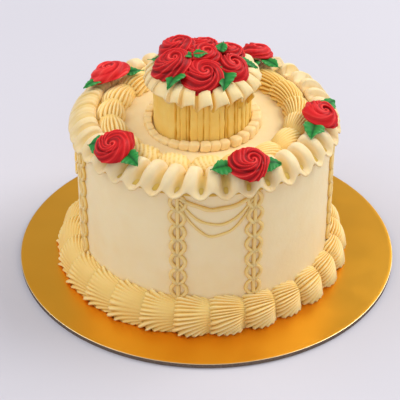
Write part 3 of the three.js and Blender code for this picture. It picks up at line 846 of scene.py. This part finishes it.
def repeat_pleats(curve, count, seed, unevenness):
    """Advance in pitches and wave height at every step round the ribbon, each pleat a little
    different in width and height."""
    steps = len(curve)
    middle = 0.5 - 0.5 * np.cos(2 * np.pi * np.arange(steps) / steps)
    advance, height = [], []
    for k in range(count):
        start = 0.5 * unevenness * wobble(k, seed)
        end = 0.5 * unevenness * wobble((k + 1) % count, seed)
        advance.append(k + curve[:, 0] + start * (1 - curve[:, 0]) + end * curve[:, 0])
        height.append(curve[:, 1] * (1 + unevenness * wobble(k, seed + 1) * middle))
    return np.concatenate(advance), np.concatenate(height)


def add_ribbon(shape, outer, thickness, tone):
    """A closed ribbon from its outer face, a grid (steps round, steps down), of this thickness."""
    along = np.roll(outer, -1, 0) - np.roll(outer, 1, 0)
    down = np.gradient(outer, axis=1)
    normal = np.cross(along, down)
    normal /= np.maximum(np.linalg.norm(normal, axis=-1, keepdims=True), 1e-9)
    if normal[..., 2].mean() < 0:
        normal = -normal
    inner = outer - thickness * normal
    loops = np.concatenate([outer, inner[:, ::-1]], axis=1)
    # The underside takes painted shade, darker than the face above it
    shape.add_loops(loops, ring=True, tone=np.concatenate([tone, tone[:, ::-1] * 0.6], axis=1))


def ribbon_profile(height, crest, trough, v):
    """Radius and z between the profile of the ribbon's backs and that of its creases."""
    high, low = through(crest, v), through(trough, v)
    return low[None] + (high - low)[None] * (height[..., None] + 1) / 2


RUFFLE_TUBE_PATH = (
    # one fold near the ribbon's inner edge: a fat tube and a tight crease
    (0.0, -1.0), (0.03, -0.6), (0.05, -0.05), (0.08, 0.4), (0.16, 0.78), (0.30, 0.96), (0.5, 1.0),
    (0.70, 0.96), (0.84, 0.78), (0.92, 0.4), (0.95, -0.05), (0.97, -0.6),
)
RUFFLE_SPOON_PATH = (
    # the same fold further out, where its crease opens like a spoon
    (0.0, -1.0), (0.12, -0.93), (0.20, -0.62), (0.235, -0.1), (0.26, 0.45), (0.34, 0.85), (0.52, 1.0),
    (0.70, 0.9), (0.80, 0.5), (0.83, 0.0), (0.87, -0.55), (0.93, -0.88),
)
RUFFLE_CREST_PROFILE = (
    (85.5, 128), (83.6, 131), (83.0, 134.8), (84.2, 138), (87.2, 139.8), (91, 139.8), (95.2, 138.3),
    (98.9, 135.8), (101.9, 132.7), (104, 129.4), (105.2, 126.4),
)
RUFFLE_TROUGH_PROFILE = (
    (87, 127), (86.8, 129), (87.4, 130.6), (89.2, 131.6), (91.8, 131.6), (94.4, 130.6), (96.8, 128.8),
    (98.8, 126.8), (101, 124.9), (104, 123.2), (107, 121.8),
)
RUFFLE_BASE = (
    # the icing under the ribbon, seen only in the hollows at its lower edge, painted in full gold shade
    (80, 125.6), (80.6, 129), (82.8, 130.6), (85.4, 129.8), (87.6, 128.2), (90, 129.6), (95, 129),
    (99.4, 126.8), (102.6, 124.2), (102.8, 122.6), (100, 120.8),
)
RUFFLE_SWAY = (
    # bearing, and the degrees by which a fold leans over from its inner to its outer end
    (0, 0), (150, 0), (200, -3), (250, -6), (262, -5.2), (270, -3), (282, -0.5), (320, 1),
)
RUFFLE_FLATS = (
    # bearing, width and how nearly flat the ribbon was piped there
    (176, 38, 0.86), (44, 38, 0.68),
)
RUFFLE_COLUMNS = 24
RUFFLE_STEPS = 32
RUFFLE_UNEVENNESS = 0.24

# At the back right the folds are finely creased and stand in steps, each from this share of a fold
FRILL_DEPTH = 2.4
STEP_DEPTH = 7.5
STEP_START = 0.25


def make_ruffle():
    """A thick ribbon whose tubes open into spoons at its wavy lower edge."""
    pitch = 360 / RUFFLE_WAVES
    v = np.linspace(0, 1, RUFFLE_COLUMNS)
    tubes, spoons = (
        repeat_pleats(smooth_path(path, RUFFLE_STEPS), RUFFLE_WAVES, 51, RUFFLE_UNEVENNESS)
        for path in (RUFFLE_TUBE_PATH, RUFFLE_SPOON_PATH))
    opening = smooth_step(v, 0.16, 0.46)[None]
    advance, height = (a[:, None] * (1 - opening) + b[:, None] * opening for a, b in zip(tubes, spoons))
    whole = np.arange(len(advance)) / RUFFLE_STEPS
    lobes = 1 - 2 * (0.5 + 0.5 * np.cos(2 * np.pi * (whole - 0.03))) ** 0.7
    rim = smooth_step(v, 0.64, 0.98)[None]
    wave = height * (1 - rim) + lobes[:, None] * rim
    run = advance * (1 - 0.9 * rim) + whole[:, None] * 0.9 * rim
    bearing = (-90 + pitch * run) % 360
    soft = 1
    for centre, width, flatness in RUFFLE_FLATS:
        soft = soft - flatness * softened(bearing, centre, width)
    level = wave * soft + 0.55 * (1 - soft)
    profile = ribbon_profile(level, RUFFLE_CREST_PROFILE, RUFFLE_TROUGH_PROFILE, v)
    sway = at_bearing(RUFFLE_SWAY, bearing)
    outer = polar(CAKE_CENTRE, profile[..., 0], bearing + sway * (v[None] - 0.4), profile[..., 1])
    left = softened(bearing, 176, 34)
    frill = (softened(bearing, 50, 38) + 0.4 * left) * smooth_step(v, 0.06, 0.3)[None]
    around = whole / RUFFLE_WAVES
    crease = 1 - np.abs(np.sin(2.5 * np.pi * run + 2 * drift(around, 55, 9)[:, None])) ** 0.6
    outer[..., 2] -= FRILL_DEPTH * frill * crease
    step = (0.5 - (run - STEP_START) % 1) * softened(bearing, 44, 34) * smooth_step(v, 0.15, 0.45)[None]
    outer[..., 2] += STEP_DEPTH * step
    outer[..., 2] += (0.8 * drift(around, 53, 24)[:, None] + 0.5 * wobble(np.floor(run), 54)) * rim
    # Painted light: backs paler, creases and fine frill creases darker gold, the lower edge a little paler,
    # and the whole left side painted duller as shade
    painted_light = 0.58 + 0.42 * wave * soft * (1 - 0.7 * rim) + 0.2 * rim - 0.5 * frill * crease
    shape = Shape()
    add_ribbon(shape, outer, RUFFLE_THICKNESS, np.clip(painted_light - 0.18 * left, 0, 1))
    degrees = np.arange(180) * 2.0
    loops = np.stack([polar(CAKE_CENTRE, r, degrees, z) for r, z in RUFFLE_BASE], axis=1)
    shape.add_loops(loops, ring=True, tone=0)
    place_piece(shape, "ruffle_ribbon", ruffle_icing, "buttercream", "top_ruffle")


COLLAR_PATH = (
    # a knife pleat: it slants up to a crisp edge and folds back under it
    (0.0, -1.0), (0.10, -0.85), (0.20, -0.1), (0.40, 0.5), (0.66, 0.85), (0.92, 1.0), (0.97, 0.86),
    (0.955, 0.3), (0.935, -0.3), (0.95, -0.8),
)
COLLAR_CREST_PROFILE = (
    (25, 173.8), (30, 175.2), (34.5, 175.4), (38.5, 174.4), (41.8, 172.6), (44.4, 170.4), (46, 167.8),
)
COLLAR_TROUGH_PROFILE = (
    (25, 173.2), (29.5, 174.2), (33.2, 174.2), (36.4, 172.6), (39, 169.8), (40.8, 165.8), (41.6, 161),
)
COLLAR_COLUMNS = 18
PLANK_GAP = 3.4


def make_collar():
    """Knife pleats over the tier's shoulder, deepest at the right and nearly flat at the left."""
    pitch = 360 / COLLAR_PLEATS
    path = folded_path(COLLAR_PATH, 44)
    advance, height = repeat_pleats(path, COLLAR_PLEATS, 61, 0.34)
    v = np.linspace(0, 1, COLLAR_COLUMNS)
    bearing = 0.2 * pitch + pitch * advance
    soft = 1 - 0.85 * softened(bearing, 203, 36)
    deep = 1 + 0.6 * softened(bearing, 330, 40) * (height < 0)
    wave = (height * soft * deep + 0.5 * (1 - soft))[:, None] * np.ones_like(v)[None]
    profile = ribbon_profile(wave, COLLAR_CREST_PROFILE, COLLAR_TROUGH_PROFILE, v)
    outer = polar(TIER_CENTRE, profile[..., 0], bearing[:, None] + 1.5 * (v - 1)[None], profile[..., 1])
    pleat = np.floor(advance + 0.1)
    place = advance - pleat
    gap = softened(bearing, 335, 48) * np.exp(-((advance - np.round(advance) - 0.02) / 0.13) ** 2)
    outer[..., 2] -= PLANK_GAP * gap[:, None] * smooth_step(v, 0.15, 0.7)[None]
    ragged = 1.3 * wobble(pleat, 63) - 2.2 * (0.7 - place) * (0.7 + 0.4 * wobble(pleat, 64)) * soft
    outer[..., 2] += ragged[:, None] * v[None] ** 3
    shape = Shape()
    # Painted shade in the gaps between the planks and on the folds tucked under, painted highlight on the
    # raised plank edges
    add_ribbon(shape, outer, COLLAR_THICKNESS, np.clip(0.62 + 0.38 * wave - 0.7 * gap[:, None], 0, 1))
    place_piece(shape, "collar_ribbon", piped_icing, "buttercream", "tier_collar")


# Small tier

def make_tier():
    """The upright side in piped planks of uneven width, and the low dome on top."""
    widths = 1 + 0.62 * wobble(np.arange(TIER_RIBS), 71)
    edges = np.concatenate([[0], np.cumsum(widths)]) / widths.sum() * 360
    columns = 560
    degrees = np.arange(columns) * (360 / columns)
    rib = np.searchsorted(edges, degrees, side="right") - 1
    share = (degrees - edges[rib]) / (edges[rib + 1] - edges[rib])
    gap = np.minimum(share, 1 - share) * (edges[rib + 1] - edges[rib]) * np.pi / 180 * TIER_RADIUS
    edge = rib + (share > 0.5)
    depth = 1.5 + 0.8 * wobble(edge, 72) + 1.3 * (wobble(edge, 78) > 0.5)
    width = 0.65 + 0.3 * wobble(edge, 79)
    bearing = (degrees + 180) % 360 - 180
    strength = 0.08 + 0.92 / (1 + np.exp((np.abs(bearing) - 124) / 3))
    z_side = np.linspace(CAKE_TOP - 0.2, TIER_SHOULDER, 30)
    loops, tones = [], []
    for z in z_side:
        up = (z - CAKE_TOP) / (TIER_SHOULDER - CAKE_TOP)
        slant = 0.6 * drift(degrees / 360 + 0.05 * up, 74)
        groove = strength * depth * np.exp(-(gap / width) ** 2) * (0.8 + 0.4 * drift(up + rib * 0.37, 75, 3))
        tilt = 1.4 * (share - 0.5) * wobble(rib, 76)
        level = strength * (0.9 * wobble(rib, 73) + tilt)
        radius = TIER_RADIUS - 0.5 + level - groove + 0.15 * drift(up * 2 + degrees / 90, 77)
        loops.append(polar(TIER_CENTRE, radius, degrees + slant, z))
        # Painted shade in the grooves between the planks, painted highlight on the raised planks
        tones.append(np.clip(0.62 - 0.42 * groove + 0.12 * level, 0, 1))
    for r, z in ((36, 167.5), (33, 169.5), (28, 171.5), (20, 174), (10, 176.2), (2, 177)):
        loops.append(polar(TIER_CENTRE, r, degrees, z))
        tones.append(np.full(columns, 0.6))
    place_loops(np.array(loops), np.array(tones), "tier_body", tier_shade_icing, "buttercream", "small_tier")


def make_beads():
    """Square beads round the tier's foot, leaning at the right and merged at the left."""
    rise = np.radians(np.linspace(-86, 86, 13))
    turn = np.radians(np.arange(24) * (360 / 24))

    def boxed(value, power):
        return np.sign(value) * np.abs(value) ** power

    shape = Shape()
    for k in range(BEADS):
        degrees = 360 / BEADS * (k + 0.12 * wobble(k, 81))
        merged = float(softened(degrees, 215, 34))
        leaning = float(softened(degrees, 350, 40))
        half = (
            3.9 + 0.25 * wobble(k, 82) + 1.6 * merged,
            3.5 + 0.3 * wobble(k, 83) + 0.7 * leaning - 0.8 * merged,
            3.6 + 0.35 * wobble(k, 84) - 2.3 * merged + 0.3 * leaning)
        flat = boxed(np.cos(rise), 0.45)[:, None]
        x = half[0] * (1 - 0.14 * leaning) * flat * boxed(np.cos(turn), 0.5)[None]
        y = half[1] * flat * boxed(np.sin(turn), 0.5)[None]
        z = half[2] * boxed(np.sin(rise), 0.55)[:, None] + 0 * x
        along = x + (0.22 + 0.3 * leaning) * z + (0.1 + 0.25 * leaning) * y
        angle = math.radians(degrees)
        out = BEAD_MIDDLE_RADIUS + y - 0.12 * z
        px = TIER_CENTRE[0] + out * math.cos(angle) - along * math.sin(angle)
        py = TIER_CENTRE[1] + out * math.sin(angle) + along * math.cos(angle)
        shape.add_loops(np.stack([px, py, CAKE_TOP + half[2] - 0.2 + z], axis=-1), tone=0.7)
    place_piece(shape, "tier_bead_row", piped_icing, "buttercream", "tier_beads")


# Roses

ROSE_PROFILE = (
    # distance from the axis and height, as shares, from the eye over the rim to the foot
    (0.012, 0.84), (0.10, 0.86), (0.22, 0.92), (0.36, 0.97), (0.5, 0.97), (0.64, 0.92), (0.78, 0.80),
    (0.90, 0.62), (0.98, 0.42), (1.0, 0.22), (0.96, 0.04), (0.82, -0.12), (0.6, -0.35),
)
ROSE_SLANT = 25
ROSE_FLUTE = 1.15
ROSE_FOLD = 1.6
ROSE_ROWS = 84
ROSE_RIM_ROW = 63
ROSE_FLOOR = 131
COIL_PITCH = 4.3
COIL_DEPTH = 0.75
ROPE_PITCH = 11
ROPE_DEPTH = 0.9


def petal_edge(phase):
    """Height from 0 to 1 across one band of icing: a thin crest, steep on one side."""
    share = phase - np.floor(phase)
    return np.maximum(np.exp(-share / 0.15), np.clip((share - 0.86) / 0.14, 0, 1) ** 1.4)


def rose_loops(radius, height, eye, arms, turn, tail, crisp, seed):
    """A rosette: icing coiled from its eye outwards, its thin crests slanting across the coil."""
    rows, columns = ROSE_ROWS, 152
    w = np.linspace(0, 1, rows)
    profile = through(ROSE_PROFILE, w)
    angle = np.arange(columns) * (2 * np.pi / columns)
    lobes = 0.03 * np.cos(3 * angle + turn) + 0.02 * np.cos(5 * angle + 2 * turn)
    if tail is not None:
        away = (np.degrees(angle) - tail + 180) % 360 - 180
        lobes = lobes + 0.16 * np.exp(-(away / 15) ** 2)
    share = profile[:, 0][:, None]
    out = share * (1 + lobes[None] * share ** 2)
    x = radius * (out * np.cos(angle)[None] + eye[0] * (1 - share) ** 1.3)
    y = radius * (out * np.sin(angle)[None] + eye[1] * (1 - share) ** 1.3)
    z = height * profile[:, 1][:, None] + 0 * x
    loops = np.stack([x, y, z], axis=-1)
    normal = normals_of(loops, False)
    if normal[rows // 3, :, 2].mean() < 0:
        normal = -normal
    piece = np.hypot(np.diff(radius * profile[:, 0]), np.diff(height * profile[:, 1]))
    length = np.concatenate([[0], np.cumsum(piece)])
    across = np.maximum(radius * profile[:, 0], 2.2)
    wind = np.concatenate([[0], np.cumsum(piece / across[1:])]) / math.tan(math.radians(ROSE_SLANT))
    spin = math.radians(turn)
    phase = arms * (angle[None] + wind[:, None] + spin) / (2 * np.pi)
    phase = phase + 0.4 * np.sin(2 * angle[None] + seed)
    phase = phase + 0.22 * np.sin(3 * angle[None] + 2 * seed + length[:, None] * 0.3)
    band = petal_edge(phase)
    fine = petal_edge(2 * phase + 0.4)
    coil = (2 * (angle[None] + spin) / (2 * np.pi) + length[:, None] / COIL_PITCH) % 1
    ridge = np.abs(2 * coil - 1) ** 1.6
    rope = ((angle[None] + 2 * spin) / (2 * np.pi) + length[:, None] / ROPE_PITCH + 0.1 * seed) % 1
    gap = -np.exp(-(np.minimum(rope, 1 - rope) * ROPE_PITCH / 0.9) ** 2)
    outer = np.clip((length - 4) / 3.5, 0, 1)[:, None]
    fade = np.clip((length[-1] - length) / 4, 0, 1)[:, None]
    facing = np.clip(crisp * (1 + (0.9 - 0.5 * crisp) * np.cos(angle[None] - spin)), 0.15, 1.2)
    bands = ROSE_FLUTE * outer * facing * (band - 0.3 + 0.25 * fine)
    folds = np.sin(3 * angle[None] + 2.4 * wind[:, None] + seed) * np.sin(length[:, None] * 0.45 + seed)
    bands = bands + (1 - crisp) * ROSE_FOLD * outer * folds
    coils = COIL_DEPTH * (1 - 0.85 * outer) * np.clip(length / 1.5, 0, 1)[:, None] * (2 * ridge - 1)
    depth = (bands + coils + ROPE_DEPTH * gap * np.clip(length / 3, 0, 1)[:, None]) * fade
    loops = loops + depth[..., None] * normal
    # Painted highlight on the thin crests and coil ridges, painted shade in the grooves and rope gaps, evened
    # out towards a paler middle where the crests are shallow
    crest = np.maximum(band, 0.5 * fine) * outer + ridge * (1 - outer)
    tone = 0.1 + 0.9 * crest + 0.3 * gap
    tone = tone + (1.05 - 0.6 * crisp - tone) * outer * np.clip(1.1 - facing, 0, 1) * 0.75
    return loops, np.clip(tone, 0, 1)


def tilted(loops, tilt, angle, place):
    """Tips a rose outward and sets it at its place."""
    lean, spin = math.radians(tilt), math.radians(angle)
    x = loops[..., 0] * math.cos(lean) + loops[..., 2] * math.sin(lean)
    y = loops[..., 1]
    z = loops[..., 2] * math.cos(lean) - loops[..., 0] * math.sin(lean)
    turned_x = x * math.cos(spin) - y * math.sin(spin)
    turned_y = x * math.sin(spin) + y * math.cos(spin)
    return np.stack([turned_x, turned_y, z], axis=-1) + place


def grounded(loops, tone, floor):
    """Carries a rose's wall down from its rim, so that nothing shows under it, darkening it towards the foot
    as painted shade.
    """
    rim = loops[ROSE_RIM_ROW]
    down = np.linspace(0, 1, ROSE_ROWS - ROSE_RIM_ROW)[:, None]
    ground = np.minimum(floor, rim[:, 2] - 1)
    loops[ROSE_RIM_ROW:, :, 2] = rim[:, 2] + (ground - rim[:, 2]) * down
    inward = (rim.mean(0) - rim)[None, :, :2] * 0.14 * down[..., None] ** 2
    loops[ROSE_RIM_ROW:, :, :2] = rim[:, :2] + inward
    # Painted shade: the wall darkens towards its foot under the rose
    tone[ROSE_RIM_ROW:] = tone[ROSE_RIM_ROW] * (1 - 0.4 * down)
    return loops, tone


def upright_eye(eye, angle):
    """The eye is given seen from above with +X to the right, and the rose turns with its angle."""
    along, aside = math.cos(math.radians(angle)), math.sin(math.radians(angle))
    return eye[0] * along + eye[1] * aside, eye[1] * along - eye[0] * aside


def make_roses():
    """Five roses on the ruffle and a heap of seven on the small tier."""
    for k, rose in enumerate(RIM_ROSES):
        eye = upright_eye(rose["eye"], rose["angle"])
        tail = rose["tail"] - rose["angle"]
        arms, crisp = rose["arms"], rose["crisp"]
        loops, tone = rose_loops(rose["radius"], RIM_ROSE_HEIGHT, eye, arms, 70 * k, tail, crisp, k)
        place = polar(CAKE_CENTRE, rose["ring"], rose["angle"], RIM_ROSE_BASE)
        loops = tilted(loops, RIM_ROSE_TILT, rose["angle"], place)
        rim = loops[ROSE_RIM_ROW]
        floor = np.minimum(crest_height(RUFFLE_CREST, rim[:, 0], rim[:, 1], CAKE_CENTRE) - 3, ROSE_FLOOR)
        loops, tone = grounded(loops, tone, floor)
        place_loops(loops, tone, f"rim_rosette_{k + 1}", red_icing, "red_icing", f"rim_rose_{k + 1}")
    for k, rose in enumerate(CROWN_ROSES):
        eye = upright_eye(rose["eye"], rose["angle"])
        radius, height, turn = rose["radius"], rose["height"], 50 * k + 20
        loops, tone = rose_loops(radius, height, eye, CROWN_ARMS, turn, None, CROWN_CRISP, k + 10)
        place = polar(TIER_CENTRE, rose["ring"], rose["angle"], rose["base"])
        loops = tilted(loops, rose["tilt"], rose["angle"], place)
        loops, tone = grounded(loops, tone, rose["base"] - 2.5)
        place_loops(loops, tone, f"crown_rosette_{k + 1}", red_icing, "red_icing", f"crown_rose_{k + 1}")


# Leaves

LEAF_HALF_WIDTHS = (0.50, 0.78, 0.96, 1.0, 0.90, 0.70, 0.44, 0.2, 0.03)
LEAF_THICKNESS = 1.3


def crest_height(crest, x, y, centre):
    """Height of the backs of the piping under a leaf or a rose."""
    radius = np.hypot(x - centre[0], y - centre[1])
    return crest["z"] - crest["fall"] * np.maximum(radius - crest["radius"], 0) ** 2


def leaf_loops(leaf, start, crest, centre, seed):
    """A piped leaf: a sunken middle vein, raised wavy edges and faint ribs across."""
    along = np.linspace(0, 1, 28)
    across = np.linspace(-1, 1, 19)
    half = through(LEAF_HALF_WIDTHS, along)[:, None] * leaf["width"] / 2
    ripple = np.sin(2 * np.pi * (1.15 * along + 0.13 * seed))[:, None]
    pulse = np.sin(2 * np.pi * 5.5 * along)[:, None]
    side = np.abs(across)[None]
    lift = 0.13 * leaf["width"] * side ** 1.15 * (half / half.max())
    lift = lift + 0.07 * leaf["width"] * ripple * across[None] + 0.22 * pulse * side
    taper = np.clip(half / half.max() * 1.6, 0.25, 1)
    thick = LEAF_THICKNESS * np.sqrt(np.clip(1 - side ** 4, 0.03, 1)) * taper
    heading = math.radians(leaf["heading"] + 3 * wobble(seed, 91))
    ahead = along[:, None] * leaf["length"] + 0 * side
    aside = across[None] * half * (1 + 0.06 * pulse)
    x = start[0] + ahead * math.cos(heading) - aside * math.sin(heading)
    y = start[1] + ahead * math.sin(heading) + aside * math.cos(heading)
    ground = crest_height(crest, x, y, centre) + leaf["lift"] + leaf["rise"] * along[:, None]
    upper = np.stack([x, y, ground + lift + thick], axis=-1)
    lower = np.stack([x, y, ground + lift], axis=-1)
    loops = np.concatenate([upper, lower[:, ::-1]], axis=1)
    # Painted shade: darkest along the sunken vein and over the whole underside, with painted highlight rising
    # towards the raised edges and ribs
    vein = np.clip(side * 2.2, 0, 1) * (0.55 + 0.12 * pulse + 0.3 * side ** 2) + 0 * x
    tone = np.clip(np.concatenate([vein, 0.2 + 0 * vein], axis=1), 0, 1)
    return loops, tone


def make_leaves():
    """Two leaves beside each rim rose, and eight round the crown."""
    for k, leaf in enumerate(RIM_LEAVES):
        rose = RIM_ROSES[leaf["rose"]]
        middle = polar(CAKE_CENTRE, rose["ring"], rose["angle"], 0)
        start = polar(middle, leaf["start"] - 2, leaf["heading"], 0)
        loops, tone = leaf_loops(leaf, start, RUFFLE_CREST, CAKE_CENTRE, k)
        place_loops(loops, tone, f"rim_leaf_piped_{k + 1}", green_icing, "green_icing", f"rim_leaf_{k + 1}")
    for k, leaf in enumerate(CROWN_LEAVES):
        start = polar(TIER_CENTRE, leaf["ring"], leaf["angle"], 0)
        loops, tone = leaf_loops(leaf, start, CROWN_CREST, TIER_CENTRE, k + 20)
        piece, node = f"crown_leaf_piped_{k + 1}", f"crown_leaf_{k + 1}"
        place_loops(loops, tone, piece, green_icing, "green_icing", node)


# Studio

CAMERA_PLACE = (0, -1.0792, 0.7848)
CAMERA_DOWN = 34.302
CAMERA_YAW = 0.2857
CAMERA_LENS = 145.44
FLOOR_HALF = 4.0
LIGHTS_AIM = (0, 0, 0.1)
SOFTBOXES = named_rows(
    "name place width height power colour",
    ("key", (1.3, 0.45, 1.7), 1.2, 1.2, 27.5, (1, 0.98, 0.95)),
    ("fill", (-1.3, 0.1, 1.6), 1.6, 1.2, 14.5, (1, 0.98, 0.97)),
    ("front", (-0.2, -2.0, 1.3), 1.4, 1.0, 6.6, (1, 0.99, 0.98)),
    ("back", (1.4, 1.8, 1.3), 1.3, 1.0, 9, (1, 0.99, 0.97)),
)


def make_camera():
    """The photograph's view, from a little over a metre in front and above."""
    data = bpy.data.cameras.new("camera")
    data.lens = CAMERA_LENS
    data.sensor_width = 36
    camera = add_object("camera", data)
    camera.location = CAMERA_PLACE
    camera.rotation_euler = (math.radians(90 - CAMERA_DOWN), 0, math.radians(CAMERA_YAW))
    bpy.context.scene.camera = camera


def add_softbox(name, place, width, height, power, colour):
    data = bpy.data.lights.new(name, "AREA")
    data.shape = "RECTANGLE"
    data.size, data.size_y = width, height
    data.energy = power
    data.color = colour
    lamp = add_object(name, data)
    lamp.location = place
    away = np.array(place) - np.array(LIGHTS_AIM)
    flat = math.hypot(away[0], away[1])
    lamp.rotation_euler = (math.atan2(flat, away[2]), 0, math.atan2(away[1], away[0]) + math.pi / 2)


def make_studio():
    """A pale floor, a soft cool sky and four soft boxes."""
    mesh = bpy.data.meshes.new("floor")
    corners = [(x * FLOOR_HALF, y * FLOOR_HALF, 0) for x, y in ((-1, -1), (1, -1), (1, 1), (-1, 1))]
    mesh.from_pydata(corners, [], [(0, 1, 2, 3)])
    mesh.materials.append(make_floor_paint())
    add_object("floor", mesh)
    world = bpy.data.worlds.new("studio")
    world.use_nodes = True
    background = world.node_tree.nodes["Background"]
    background.inputs["Color"].default_value = (0.95, 0.96, 1.0, 1)
    background.inputs["Strength"].default_value = 0.52
    bpy.context.scene.world = world
    for softbox in SOFTBOXES:
        add_softbox(**softbox)
    bpy.context.scene.view_settings.view_transform = "Standard"


make_board()
make_cake_body()
make_strings()
make_foot_border()
make_inner_border()
make_ruffle()
make_tier()
make_collar()
make_beads()
make_roses()
make_leaves()
make_studio()
make_camera()
